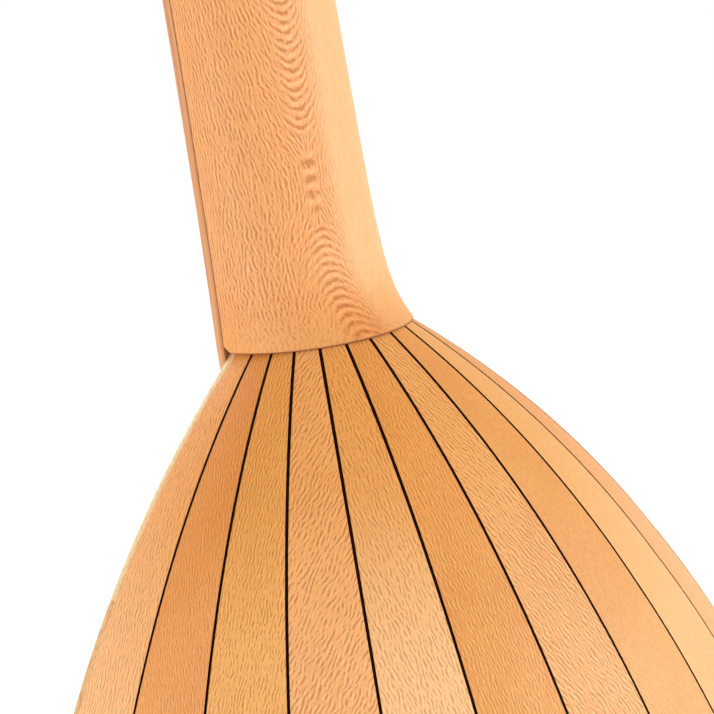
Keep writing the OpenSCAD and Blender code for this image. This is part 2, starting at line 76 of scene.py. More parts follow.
STRING_Y_PIN = -2.6
PEG_COUNT = 7
FRONT_PEGS = 4

log = logging.getLogger("saz")

Piece = bpy.types.Object
Socket = bpy.types.NodeSocket
Colour = tuple[int, int, int]
Triple = tuple[float, float, float]
Profile = Sequence[tuple[float, float]]
Place = Callable[[float, float], Vector]
FLECK_STRETCH = 0.85
GLUE_LINE = (146, 88, 50)


@dataclass(frozen=True)
class Spot:
    """The wood's figure at one point.

    across and up are millimetres over the surface, lean is the turn of the flecks
    from upright in degrees, to the left at the top, and arc_phase counts the arcs.
    """

    across: float
    up: float
    lean: float = 0.0
    # Strength of the flecks. Where it is low the wood also turns pale, partly as plain wood and partly as a
    # painted highlight.
    strength: float = 1.0
    arc_phase: float = 0.0
    arc_share: float = 0.0


Figure = Callable[[Vector], Spot]
Section = tuple[float, float, float, float]


class Grain(Enum):
    """Which way the fibres of a plain wood run in the piece."""

    UP_THE_NECK = (1.0, 1.0, 0.03)
    DOWN_THE_TOP = (1.0, 1.0, 0.006)
    ACROSS = (0.08, 1.0, 1.0)
    INTO_THE_HEAD = (1.0, 0.08, 1.0)


class Seat(Enum):
    """The side of the head that a peg is pushed into."""

    FRONT = "front"
    SIDE = "side"


def linear(colour: Colour) -> tuple[float, float, float, float]:
    """Turns a colour as seen on screen into the renderer's own values.

    Args:
        colour: Red, green and blue from 0 to 255.

    Returns:
        Red, green, blue and full opacity.
    """
    def channel(value: float) -> float:
        """Undoes the screen's own curve for one channel."""
        share = value / 255.0
        return share / 12.92 if share <= 0.04045 else ((share + 0.055) / 1.055) ** 2.4

    return (channel(colour[0]), channel(colour[1]), channel(colour[2]), 1.0)


def smooth_step(value: float, low: float, high: float) -> float:
    """Eases from 0 at low to 1 at high."""
    share = min(1.0, max(0.0, (value - low) / (high - low)))
    return share * share * (3.0 - 2.0 * share)


def outwards_front(_: Vector) -> Vector:
    """Points out of the soundboard from anywhere."""
    return Vector((0.0, -1.0, 0.0))


# ------------------------------------------------------------------ bench
class Bench:
    """The modelling steps that the sub-assemblies share."""

    @staticmethod
    def clear_selection() -> None:
        """Leaves edit mode and deselects everything."""
        if bpy.context.object and bpy.context.object.mode != "OBJECT":
            bpy.ops.object.mode_set(mode="OBJECT")
        bpy.ops.object.select_all(action="DESELECT")

    @staticmethod
    def pick(piece: Piece) -> Piece:
        """Makes a piece the only selected and the active one."""
        Bench.clear_selection()
        piece.select_set(True)
        bpy.context.view_layer.objects.active = piece
        return piece

    @staticmethod
    def named(name: str) -> Piece:
        """Gives the new active object and its mesh a name."""
        piece = bpy.context.active_object
        piece.name = name
        piece.data.name = name
        return piece

    @staticmethod
    def modify(piece: Piece, kind: str, **settings: Any) -> None:
        """Adds a modifier and applies it.

        Args:
            piece: The piece to change.
            kind: The modifier's type.
            **settings: The modifier's values.
        """
        Bench.pick(piece)
        modifier = piece.modifiers.new(kind.lower(), kind)
        for key, value in settings.items():
            setattr(modifier, key, value)
        bpy.ops.object.modifier_apply(modifier=modifier.name)

    @staticmethod
    def edit(piece: Piece, *steps: Callable[[], Any]) -> None:
        """Runs steps in edit mode, with the whole mesh selected at first.

        Args:
            piece: The piece to edit.
            *steps: The steps, in order.
        """
        Bench.pick(piece)
        bpy.ops.object.mode_set(mode="EDIT")
        bpy.ops.mesh.select_all(action="SELECT")
        for step in steps:
            step()
        bpy.ops.object.mode_set(mode="OBJECT")

    @staticmethod
    def weld(piece: Piece, distance: float = 0.002) -> None:
        """Merges doubled points and turns all faces of a closed mesh outwards."""
        Bench.edit(piece, lambda: bpy.ops.mesh.remove_doubles(threshold=distance * MM),
                   bpy.ops.mesh.normals_make_consistent)

    @staticmethod
    def smooth(piece: Piece, angle: float = 35.0) -> None:
        """Shades smooth wherever faces meet at less than an angle in degrees."""
        Bench.pick(piece)
        bpy.ops.object.shade_smooth_by_angle(angle=math.radians(angle))

    @staticmethod
    def sheet(name: str, columns: int, rows: int, place: Place) -> Piece:
        """Adds a grid and moves its points into place.

        Args:
            name: Name of the piece.
            columns: Faces from side to side.
            rows: Faces from end to end.
            place: Gives the millimetre place for shares from 0 to 1 across and along.

        Returns:
            The open sheet.
        """
        Bench.clear_selection()
        bpy.ops.mesh.primitive_grid_add(x_subdivisions=columns, y_subdivisions=rows, size=2.0)
        piece = Bench.named(name)
        for vertex in piece.data.vertices:
            across = round((vertex.co.x + 1.0) / 2.0 * columns) / columns
            along = round((vertex.co.y + 1.0) / 2.0 * rows) / rows
            vertex.co = place(across, along) * MM
        return piece

    @staticmethod
    def face_towards(piece: Piece, outward: Callable[[Vector], Vector]) -> None:
        """Turns the faces of an open sheet so that most of them look outwards.

        Args:
            piece: The sheet.
            outward: Gives a rough outward direction at a point in metres.
        """
        votes = sum(1 if face.normal.dot(outward(face.center)) > 0 else -1
                    for face in piece.data.polygons)
        if votes < 0:
            Bench.edit(piece, bpy.ops.mesh.flip_normals)

    @staticmethod
    def thicken(piece: Piece, thickness: float) -> None:
        """Gives an open sheet its wall, inwards from its outer side."""
        Bench.modify(piece, "SOLIDIFY", thickness=thickness * MM, offset=-1.0, use_even_offset=True)

    @staticmethod
    def soften(piece: Piece, width: float, segments: int = 2, angle: float = 40.0) -> None:
        """Rounds the edges where faces meet at more than an angle."""
        Bench.modify(piece, "BEVEL", width=width * MM, segments=segments, limit_method="ANGLE",
                     angle_limit=math.radians(angle), use_clamp_overlap=True, harden_normals=False)

    @staticmethod
    def plate(name: str, columns: int, rows: int, place: Place, outward: Callable[[Vector], Vector],
              thickness: float, rounding: float, segments: int = 2, angle: float = 40.0) -> Piece:
        """Makes a plate with rounded edges from its outer face.

        Args:
            name: Name of the piece.
            columns: Faces from side to side.
            rows: Faces from end to end.
            place: Gives the outer face's points, as for a sheet.
            outward: Gives a rough outward direction at a point in metres.
            thickness: Thickness in millimetres.
            rounding: Width of the rounded edges in millimetres.
            segments: Faces over a rounded edge.
            angle: Least angle in degrees of an edge that is rounded.

        Returns:
            The closed plate.
        """
        piece = Bench.sheet(name, columns, rows, place)
        Bench.weld(piece)
        Bench.face_towards(piece, outward)
        Bench.thicken(piece, thickness)
        Bench.soften(piece, rounding, segments, angle)
        return piece

    @staticmethod
    def loft(name: str, ring: Callable[[float], Sequence[Vector]], rows: int,
             spread: Callable[[float], float] = lambda share: share) -> Piece:
        """Makes a closed solid through a row of rings.

        Args:
            name: Name of the piece.
            ring: Gives the ring of points, in millimetres, for a share of the length.
            rows: Faces along the length.
            spread: Spaces the rings along the length.

        Returns:
            The solid, with its two ends filled.
        """
        rings = [ring(spread(row / rows)) for row in range(rows + 1)]
        count = len(rings[0])

        def place(across: float, along: float) -> Vector:
            """Picks the ring's own point."""
            return rings[round(along * rows)][round(across * count) % count]

        piece = Bench.sheet(name, count, rows, place)
        Bench.weld(piece)
        mesh = bpy.ops.mesh
        Bench.edit(piece, lambda: mesh.select_mode(type="EDGE"), lambda: mesh.select_all(action="DESELECT"),
                   lambda: mesh.select_non_manifold(extend=False), mesh.edge_face_add,
                   lambda: mesh.select_all(action="SELECT"), mesh.normals_make_consistent)
        return piece

    @staticmethod
    def wire(name: str, paths: Sequence[Sequence[Vector]], radius: float,
             sides: int = 2) -> Piece:
        """Draws wires as curves and makes them one mesh.

        Args:
            name: Name of the piece.
            paths: Points of each wire in millimetres.
            radius: Radius of the wire in millimetres.
            sides: Roundness of the wire's section.

        Returns:
            The mesh of all the wires.
        """
        Bench.clear_selection()
        drawing = bpy.data.curves.new(name, "CURVE")
        drawing.dimensions = "3D"
        drawing.bevel_depth = radius * MM
        drawing.bevel_resolution = sides
        drawing.use_fill_caps = True
        for path in paths:
            spline = drawing.splines.new("POLY")
            spline.points.add(len(path) - 1)
            for knot, point in zip(spline.points, path):
                knot.co = (*(point * MM), 1.0)
        piece = bpy.data.objects.new(name, drawing)
        bpy.context.scene.collection.objects.link(piece)
        Bench.pick(piece)
        bpy.ops.object.convert(target="MESH")
        piece = Bench.named(name)
        bpy.ops.object.shade_smooth()
        return piece

    @staticmethod
    def turned(name: str, profile: Profile, steps: int = 40) -> Piece:
        """Turns a profile on the lathe, round the Z axis.

        Args:
            name: Name of the piece.
            profile: Radius and height of each point in millimetres, from the bottom up.
            steps: Facets round the axis.

        Returns:
            The turned solid.
        """
        def place(across: float, along: float) -> Vector:
            """Finds the point of the profile at a turn of the lathe."""
            radius, height = profile[round(along * (len(profile) - 1))]
            turn = 2.0 * math.pi * across
            return Vector((radius * math.cos(turn), radius * math.sin(turn), height))

        piece = Bench.sheet(name, steps, len(profile) - 1, place)
        Bench.weld(piece)
        return piece

    @staticmethod
    def rod(name: str, start: Vector, end: Vector, radius: float, sides: int = 48) -> Piece:
        """Adds a cylinder from one point to another, in millimetres."""
        Bench.clear_selection()
        span = end - start
        turn = Vector((0.0, 0.0, 1.0)).rotation_difference(span.normalized()).to_euler()
        bpy.ops.mesh.primitive_cylinder_add(vertices=sides, radius=radius * MM, depth=span.length * MM,
                                            location=(start + end) / 2.0 * MM, rotation=turn)
        piece = Bench.named(name)
        Bench.settle(piece)
        return piece

    @staticmethod
    def settle(piece: Piece) -> None:
        """Moves the object's place and turn into its mesh."""
        Bench.pick(piece)
        bpy.ops.object.transform_apply(location=True, rotation=True, scale=True)

    @staticmethod
    def bore(piece: Piece, cutters: Sequence[Piece]) -> None:
        """Cuts holes or grooves through a piece.

        Args:
            piece: The piece to cut.
            cutters: The solids to take away, which are then thrown away.
        """
        for cutter in cutters:
            Bench.modify(piece, "BOOLEAN", operation="DIFFERENCE", solver="EXACT", object=cutter)
            bpy.data.objects.remove(cutter)

    @staticmethod
    def join(name: str, parts: Sequence[Piece]) -> Piece:
        """Joins parts of one piece into one mesh."""
        Bench.clear_selection()
        for part in parts:
            part.select_set(True)
        bpy.context.view_layer.objects.active = parts[0]
        bpy.ops.object.join()
        return Bench.named(name)

    @staticmethod
    def copy(piece: Piece, name: str, move: Matrix) -> Piece:
        """Copies a piece, with a mesh of its own, and moves the copy's mesh.

        Args:
            piece: The piece to copy.
            name: Name of the copy.
            move: Where the copy goes, in metres.

        Returns:
            The copy.
        """
        mesh = piece.data.copy()
        mesh.transform(move)
        twin = bpy.data.objects.new(name, mesh)
        mesh.name = name
        bpy.context.scene.collection.objects.link(twin)
        return twin

    @staticmethod
    def write_figure(piece: Piece, figure: Figure) -> None:
        """Writes the wood figure's own coordinates into the mesh.

        Args:
            piece: The finished mesh.
            figure: Gives the figure at a point in millimetres.
        """
        places = piece.data.attributes.new("figure", "FLOAT_VECTOR", "POINT")
        ways = piece.data.attributes.new("ways", "FLOAT_VECTOR", "POINT")
        for vertex, place, way in zip(piece.data.vertices, places.data, ways.data):
            spot = figure(vertex.co / MM)
            turn = math.atan(math.tan(math.radians(spot.lean)) / FLECK_STRETCH)
            place.vector = (spot.across, spot.up * FLECK_STRETCH, spot.arc_phase)
            way.vector = (turn, spot.strength, spot.arc_share)


def finish_piece(piece: Piece, material: bpy.types.Material, body: str, slot: str,
                 *nodes: str) -> None:
    """Dresses a piece and ties it to the frame.

    Args:
        piece: The finished mesh.
        material: Its finish.
        body: The body that it rides on.
        slot: The record's material slot; not used.
        *nodes: The solids that it stands for.
    """
    piece.data.materials.clear()
    piece.data.materials.append(material)
    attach(piece, body)
    if nodes:
        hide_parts(*nodes)
    log.info("%s: %d faces on %s", piece.name, len(piece.data.polygons), body)


# ------------------------------------------------------------------ finishes
class Graph:
    """The node tree of a material or a world, built step by step."""

    def __init__(self, owner: bpy.types.Material | bpy.types.World) -> None:
        """Empties the tree of a new material or world."""
        owner.use_nodes = True
        self.tree = owner.node_tree
        self.tree.nodes.clear()

    def node(self, kind: str, settings: dict[str, Any] | None = None, **inputs: Any) -> bpy.types.Node:
        """Adds a node.

        Args:
            kind: The node's type, without its ShaderNode prefix.
            settings: Properties of the node itself.
            **inputs: Values or sockets by input name, with _ for a space.

        Returns:
            The node.
        """
        made = self.tree.nodes.new("ShaderNode" + kind)
        for key, value in (settings or {}).items():
            setattr(made, key, value)
        for key, value in inputs.items():
            self.feed(made.inputs[key.replace("_", " ")], value)
        return made

    def feed(self, socket: Socket, value: Any) -> None:
        """Links a socket or sets its value."""
        if isinstance(value, Socket):
            self.tree.links.new(value, socket)
        else:
            socket.default_value = value

    def calc(self, operation: str, first: Any, second: Any = 0.0) -> Socket:
        """Adds a sum on one or two numbers."""
        made = self.node("Math", {"operation": operation})
        for socket, value in zip(made.inputs, (first, second)):
            self.feed(socket, value)
        return made.outputs[0]

    def ease(self, value: Any, low: float, high: float, start: float = 0.0, end: float = 1.0) -> Any:
        """Eases from start to end while a value goes from low to high."""
        return self.node("MapRange", {"interpolation_type": "SMOOTHSTEP"}, Value=value, From_Min=low,
                         From_Max=high, To_Min=start, To_Max=end).outputs["Result"]

    def blend(self, share: Any, first: Any, second: Any, numbers: bool = False) -> Socket:
        """Mixes two colours, or two numbers, by a share."""
        made = self.node("Mix", {"data_type": "FLOAT" if numbers else "RGBA"})
        for socket, value in zip((0, 2, 3) if numbers else (0, 6, 7), (share, first, second)):
            self.feed(made.inputs[socket], value)
        return made.outputs[0 if numbers else 2]

    def darken(self, colour: Any, share: Any) -> Socket:
        """Multiplies a colour by a share of grey."""
        made = self.node("VectorMath", {"operation": "SCALE"}, Scale=share)
        self.feed(made.inputs[0], colour)
        return made.outputs[0]

    def multiply_tint(self, colour: Any, tint: Colour) -> Socket:
        """Multiplies a colour by another colour; it paints the shade near the heel."""
        made = self.node("VectorMath", {"operation": "MULTIPLY"})
        self.feed(made.inputs[0], colour)
        made.inputs[1].default_value = linear(tint)[:3]
        return made.outputs[0]

    def written(self, name: str) -> bpy.types.NodeOutputs:
        """Gives the three parts of an attribute that is written in the mesh."""
        vector = self.node("Attribute", {"attribute_name": name}).outputs["Vector"]
        return self.node("SeparateXYZ", Vector=vector).outputs

    def object_space(self, scale: Triple = (1.0, 1.0, 1.0)) -> Socket:
        """Gives the piece's own coordinates, stretched along each axis."""
        place = self.node("TexCoord").outputs["Object"]
        made = self.node("Mapping", Vector=place)
        made.inputs["Scale"].default_value = scale
        return made.outputs["Vector"]

    def noise(self, vector: Any, scale: float, detail: float = 2.0, roughness: float = 0.5) -> Any:
        """Adds a soft random pattern and gives its strength."""
        return self.node("TexNoise", Vector=vector, Scale=scale, Detail=detail,
                         Roughness=roughness).outputs["Fac"]

    def coordinate(self, axis: str = "Z") -> Socket:
        """Gives one of the piece's own coordinates."""
        return self.node("SeparateXYZ", Vector=self.object_space()).outputs[axis]

    def pale_rays(self) -> Socket:
        """Gives 1 for camera, glossy and transmission rays, and 0 for the rest."""
        rays = self.node("LightPath").outputs
        seen = self.calc("MAXIMUM", rays["Is Camera Ray"], rays["Is Glossy Ray"])
        return self.calc("MAXIMUM", seen, rays["Is Transmission Ray"])

    def surface(self, colour: Any, roughness: Any, height: Any, depth: float, strength: float,
                **constants: Any) -> None:
        """Ends the tree in its surface.

        Args:
            colour: Base colour.
            roughness: Roughness of the finish.
            height: Relief from 0 to 1.
            depth: Depth of the relief in millimetres.
            strength: Strength of the relief.
            **constants: Further values of the surface.
        """
        relief = self.node("Bump", Strength=strength, Distance=depth * MM, Height=height)
        shader = self.node("BsdfPrincipled", Base_Color=colour, Roughness=roughness,
                           Normal=relief.outputs["Normal"], **constants)
        self.node("OutputMaterial", Surface=shader.outputs[0])


@dataclass(frozen=True)
class Finish:
    """A finish with its name, which builds its own material."""

    name: str

    def paint(self, graph: Graph) -> None:
        """Draws the finish into an empty node tree."""
        raise NotImplementedError

    def material(self) -> bpy.types.Material:
        """Builds the finish's material."""
        material = bpy.data.materials.new(self.name)
        self.paint(Graph(material))
        return material


@dataclass(frozen=True)
class FleckWood(Finish):
    """Beech or plane wood, cut so that its rays show as short wavy flecks."""

    ground: Colour
    light: Colour
    fleck: Colour
    warm: Colour
    seed: float = 0.0
    contrast: float = 1.0
    gloss: float = 0.5
    # Pale tone where the flecks are weak: partly wood without flecks, partly a painted highlight on the lit
    # side.
    plain_and_lit_tone: Colour = (254, 196, 138)
    # Tint of a painted shade near the heel, multiplied into the wood's colour.
    heel_shade_tint: Colour = (255, 255, 255)
    glue_z: float = -2000.0
    seed_step: float = 31.0
    ripple_sway: Triple = (1.2, 1.2, 0.0)
    ripple_scale: float = 0.5
    ripple_frequency: float = 1.75
    ripple_order: float = 0.9
    arc_sway: float = 0.75
    dark_band: tuple[float, float] = (0.51, 0.64)
    pale_band: tuple[float, float] = (0.49, 0.37)
    cloud_band: tuple[float, float] = (0.32, 0.68)
    cloud_scale: float = 38.0
    pore_scale: float = 1500.0
    # Span of the painted heel shade in millimetres from the heel: where it fades in below and where it fades
    # out above.
    heel_shade_start: tuple[float, float] = (-75.0, -10.0)
    heel_shade_end: tuple[float, float] = (1.0, 18.0)
    relief_depth: float = 0.05

    def height(self, graph: Graph, place: Any, way: Any) -> Socket:
        """Adds the rays: short ripples that lean as written, and nested arcs.

        Args:
            graph: The material's tree.
            place: The parts of the written place.
            way: The parts of the written way.

        Returns:
            About 0.5, more in a dark ray and less in a pale one.
        """
        moved = graph.calc("ADD", place["X"], self.seed * self.seed_step)
        flat = graph.node("CombineXYZ", X=moved, Y=place["Y"]).outputs[0]
        sway = graph.node("TexNoise", Vector=flat, Scale=0.3, Detail=1.0).outputs["Color"]
        shift = graph.node("VectorMath", {"operation": "MULTIPLY_ADD"})
        for socket, value in zip(shift.inputs, (sway, self.ripple_sway, flat)):
            graph.feed(socket, value)
        ripples = graph.node("TexGabor", {"gabor_type": "2D"}, Vector=shift.outputs[0],
                             Scale=self.ripple_scale, Frequency=self.ripple_frequency,
                             Anisotropy=self.ripple_order)
        graph.feed(ripples.inputs[4], way["X"])
        breaks = graph.ease(graph.noise(flat, 0.8, 1.0), 0.34, 0.56, 0.3, 1.15)
        swing = graph.calc("MULTIPLY", graph.calc("SUBTRACT", ripples.outputs["Value"], 0.5), breaks)
        dashes = graph.calc("ADD", swing, 0.5)
        wander = graph.noise(flat, 0.4, 2.0)
        count = graph.calc("ADD", place["Z"], graph.calc("MULTIPLY", wander, self.arc_sway))
        wave = graph.calc("SINE", graph.calc("MULTIPLY", count, 2.0 * math.pi))
        gaps = graph.ease(graph.noise(flat, 0.6, 1.0), 0.36, 0.56, 0.06, 0.2)
        arcs = graph.calc("ADD", graph.calc("MULTIPLY", wave, gaps), 0.5)
        return graph.blend(way["Z"], dashes, arcs, numbers=True)

    def paint(self, graph: Graph) -> None:
        """Draws the wood from the figure that is written in the mesh."""
        place = graph.written("figure")
        way = graph.written("ways")
        height = self.height(graph, place, way)
        strength = graph.calc("MULTIPLY", way["Y"], self.contrast)
        fleck = graph.calc("MULTIPLY", graph.ease(height, *self.dark_band), strength)
        ridge = graph.calc("MULTIPLY", graph.ease(height, *self.pale_band), strength)
        cloud = graph.noise(graph.object_space((1.0, 1.0, 0.3)), self.cloud_scale, 2.0)
        pores = graph.noise(graph.object_space((1.0, 1.0, 0.12)), self.pore_scale, 2.0)
        colour = graph.blend(graph.ease(cloud, *self.cloud_band), linear(self.ground), linear(self.warm))
        # Weak flecks turn the wood to the pale tone. This is partly plain wood and partly a painted
        # highlight on the lit -X side of the neck and head.
        colour = graph.blend(way["Y"], linear(self.plain_and_lit_tone), colour)
        colour = graph.blend(ridge, colour, linear(self.light))
        colour = graph.blend(fleck, colour, linear(self.fleck))
        colour = graph.darken(colour, graph.ease(pores, 0.3, 0.7, 0.95, 1.04))
        # Painted shade: the colour is multiplied by the heel tint, darker and warmer. It is full from 10 mm
        # below the heel to 1 mm above it, and gone by 75 mm down the bowl and 18 mm up the neck.
        upright = graph.coordinate()
        below = graph.ease(upright, *((HEEL_Z + z) * MM for z in self.heel_shade_start))
        above = graph.ease(upright, *((HEEL_Z + z) * MM for z in self.heel_shade_end), 1.0, 0.0)
        heel_shade_mask = graph.calc("MULTIPLY", below, above)
        colour = graph.blend(heel_shade_mask, colour, graph.multiply_tint(colour, self.heel_shade_tint))
        glued = graph.ease(upright, (self.glue_z + 0.1) * MM, (self.glue_z + 0.55) * MM, 1.0, 0.0)
        colour = graph.blend(glued, colour, linear(GLUE_LINE))
        rough = graph.ease(fleck, 0.0, 1.0, self.gloss, self.gloss + 0.06)
        relief = graph.calc("SUBTRACT", ridge, fleck)
        graph.surface(colour, rough, relief, self.relief_depth, 0.3, Specular_IOR_Level=0.3)


@dataclass(frozen=True)
class PlainWood(Finish):
    """A wood with plain straight grain."""

    early: Colour
    late: Colour
    grain: Grain = Grain.UP_THE_NECK
    rings: float = 700.0
    contrast: float = 0.7
    gloss: float = 0.45
    shine: float = 0.35
    glue_y: float = 1000.0

    def paint(self, graph: Graph) -> None:
        """Draws the wood from rings, fibres and soft clouds."""
        place = graph.object_space(self.grain.value)
        sway = graph.noise(place, 60.0, 1.0)
        rings = graph.noise(place, self.rings, 1.0, 0.3)
        fibres = graph.noise(place, self.rings * 3.2, 2.0)
        cloud = graph.noise(graph.object_space(), 22.0, 2.0)
        line = graph.ease(rings, 0.44, 0.66)
        share = graph.calc("MULTIPLY", line, self.contrast)
        for layer, *steps in ((fibres, 0.4, 0.8, 0.0, 0.22), (cloud, 0.35, 0.75, -0.06, 0.16),
                              (sway, 0.35, 0.7, -0.06, 0.1)):
            share = graph.calc("ADD", share, graph.ease(layer, *steps))
        bounded = graph.node("Clamp", Value=share).outputs[0]
        colour = graph.blend(bounded, linear(self.early), linear(self.late))
        glued = graph.ease(graph.coordinate("Y"), (self.glue_y - 0.6) * MM, (self.glue_y - 0.3) * MM)
        colour = graph.blend(glued, colour, linear(GLUE_LINE))
        rough = graph.ease(fibres, 0.3, 0.8, self.gloss, self.gloss + 0.14)
        graph.surface(colour, rough, graph.calc("ADD", line, fibres), 0.04, 0.3,
                      Specular_IOR_Level=self.shine)


@dataclass(frozen=True)
class Bone(Finish):
    """Polished bone with fine darker pores."""

    name: str = "polished_bone"
    body: Colour = (236, 226, 200)
    shade: Colour = (214, 196, 158)
    pore: Colour = (170, 140, 96)

    def paint(self, graph: Graph) -> None:
        """Draws the bone from soft clouds and pores."""
        place = graph.object_space((0.25, 1.0, 1.0))
        cloud = graph.ease(graph.noise(place, 260.0, 3.0), 0.35, 0.7)
        pores = graph.ease(graph.noise(place, 2600.0, 2.0), 0.62, 0.74)
        colour = graph.blend(cloud, linear(self.body), linear(self.shade))
        colour = graph.blend(graph.calc("MULTIPLY", pores, 0.5), colour, linear(self.pore))
        rough = graph.ease(cloud, 0.0, 1.0, 0.24, 0.34)
        graph.surface(colour, rough, pores, 0.03, 0.3)


@dataclass(frozen=True)
class Metal(Finish):
    """Drawn or wound wire and turned metal."""

    colour: Colour
    worn: Colour
    roughness: float = 0.28
    winding: float = 0.0
    groove: Colour = (70, 48, 26)

    def paint(self, graph: Graph) -> None:
        """Draws the metal, with the turns of its winding if it has one."""
        cloud = graph.noise(graph.object_space(), 400.0, 3.0)
        colour = graph.blend(graph.ease(cloud, 0.4, 0.7), linear(self.colour), linear(self.worn))
        rough = graph.ease(cloud, 0.3, 0.7, self.roughness, self.roughness + 0.16)
        height = cloud
        if self.winding:
            turn = graph.calc("MULTIPLY", graph.coordinate(), 2.0 * math.pi * 1000.0 / self.winding)
            turns = graph.calc("SINE", turn)
            height = graph.ease(turns, -1.0, 1.0)
            colour = graph.blend(graph.ease(turns, -0.2, -1.0), colour, linear(self.groove))
        graph.surface(colour, rough, height, 0.05, 0.4, Metallic=1.0)


@dataclass(frozen=True)
class NylonLine(Finish):
    """Clear amber line that the frets are tied from."""

    name: str = "fret_line"
    core: Colour = (238, 224, 184)
    # Colour of the painted sheen where the line turns away from the view.
    rim: Colour = (250, 243, 220)

    def paint(self, graph: Graph) -> None:
        """Draws the line with a painted sheen: paler where it turns away from the view."""
        cloud = graph.noise(graph.object_space(), 900.0, 2.0)
        # Painted sheen: the facing weight pales the colour towards grazing view.
        edge = graph.node("LayerWeight", Blend=0.35).outputs["Facing"]
        share = graph.calc("MULTIPLY", graph.ease(cloud, 0.3, 0.7, 0.6, 1.0), edge)
        colour = graph.blend(share, linear(self.core), linear(self.rim))
        rough = graph.ease(cloud, 0.3, 0.7, 0.2, 0.32)
        graph.surface(colour, rough, cloud, 0.02, 0.2, Subsurface_Weight=0.15, Subsurface_Scale=0.001)


# ------------------------------------------------------------------ the bowl's form
@dataclass(frozen=True)
class Arch:
    """Half width or depth of the bowl: a shoulder arc, then a flatter belly arc."""

    start: float
    top: float
    run: float
    shoulder: float = 85.0
    belly: float = 235.0

    def radius(self) -> float:
        """Radius of the shoulder arc."""
        return ((self.top - self.start) ** 2 + self.run ** 2) / (2.0 * (self.top - self.start))

    def at(self, s: float) -> float:
        """Size at a distance from the heel."""
        radius = self.radius()
        if s <= self.shoulder:
            return self.top - radius + math.sqrt(radius * radius - (self.run - s) ** 2)
        lean = math.asin((self.run - self.shoulder) / radius)
        flat = (self.belly - self.shoulder) / math.sin(lean)
        return self.at(self.shoulder) + flat * (
            math.cos(math.asin((self.belly - s) / flat)) - math.cos(lean))


@dataclass
class BowlForm:
    """The bowl's outer surface, by station along it and share of its girth."""

    length: float = 400.0
    belly: float = 235.0
    outline: Arch = Arch(21.0, 114.3, 199.0)
    profile: Arch = Arch(26.9, 99.8, 167.0)
    front_stations: int = 16
    tail_stations: int = 13
    tail_end_angle: float = 81.2
    tail_ease: float = 1.4
    station_ease: float = 1.5
    roundness: float = 2.06
    heel_roundness: float = 2.276
    heel_run: float = 60.0
    girth_steps: int = 120
    tables: dict[tuple[float, float], list[tuple[float, float]]] = field(default_factory=dict)

    @property
    def tail_run(self) -> float:
        """Length of the bowl behind its widest place."""
        return self.length - self.belly

    def tail_angle(self, k: float) -> float:
        """Angle of a station of the tail's quarter ellipse, in degrees."""
        left = 1.0 - (k - self.front_stations) / self.tail_stations
        return self.tail_end_angle * (1.0 - left ** self.tail_ease)

    def tail_section(self, angle: float, outset: float = 0.0) -> Section:
        """Half width, depth, distance from the heel and roundness at an angle of the tail."""
        turn = math.radians(angle)
        return ((self.outline.at(self.belly) + outset) * math.cos(turn),
                (self.profile.at(self.belly) + outset) * math.cos(turn),
                self.belly + (self.tail_run + outset) * math.sin(turn), self.roundness)

    def section(self, k: float) -> Section:
        """Half width, depth, distance from the heel and roundness at a station."""
        if k > self.front_stations:
            return self.tail_section(self.tail_angle(k))
        s = self.belly * (k / self.front_stations) ** self.station_ease
        power = self.heel_roundness + (self.roundness - self.heel_roundness) * min(1.0, s / self.heel_run)
        return self.outline.at(s), self.profile.at(s), s, power

    @staticmethod
    def round_point(angle: float, section: Section) -> tuple[float, float]:
        """Point of a section, from the +X rim at 0 degrees over the back."""
        c, s = math.cos(math.radians(angle)), math.sin(math.radians(angle))
        power = 2.0 / section[3]
        return section[0] * math.copysign(abs(c) ** power, c), section[1] * abs(s) ** power

    def girth_table(self, section: Section) -> list[tuple[float, float]]:
        """Running girth and angle of the points of a section."""
        key = (section[0], section[2])
        if key not in self.tables:
            table = [(0.0, 0.0)]
            before = self.round_point(0.0, section)
            for step in range(1, self.girth_steps + 1):
                angle = 180.0 * step / self.girth_steps
                now = self.round_point(angle, section)
                table.append((table[-1][0] + math.dist(before, now), angle))
                before = now
            self.tables[key] = table
        return self.tables[key]

    def point(self, section: Section, share: float, offset: float = 0.0) -> Vector:
        """Point of the surface in millimetres.

        Args:
            section: The section that it lies on.
            share: Share of the girth from the +X rim.
            offset: Further millimetres along the girth.

        Returns:
            The point.
        """
        table = self.girth_table(section)
        reach = min(table[-1][0], max(0.0, share * table[-1][0] + offset))
        low = 0
        high = len(table) - 1
        while high - low > 1:
            middle = (low + high) // 2
            low, high = (middle, high) if table[middle][0] <= reach else (low, middle)
        part = (reach - table[low][0]) / (table[high][0] - table[low][0])
        angle = table[low][1] + (table[high][1] - table[low][1]) * part
        x, y = self.round_point(angle, section)
        return Vector((x, y, HEEL_Z - section[2]))


@dataclass(frozen=True)
class StaveLook:
    """Tint of one stave, lean, size and strength of its flecks, and the tint of its painted shade near the
    heel.
    """

    ground: Colour
    light: Colour
    fleck: Colour
    warm: Colour
    lean: float
    size: float = 1.0
    contrast: float = 0.8
    # Tint of the painted shade near the heel.
    heel_shade_tint: Colour = (246, 232, 198)


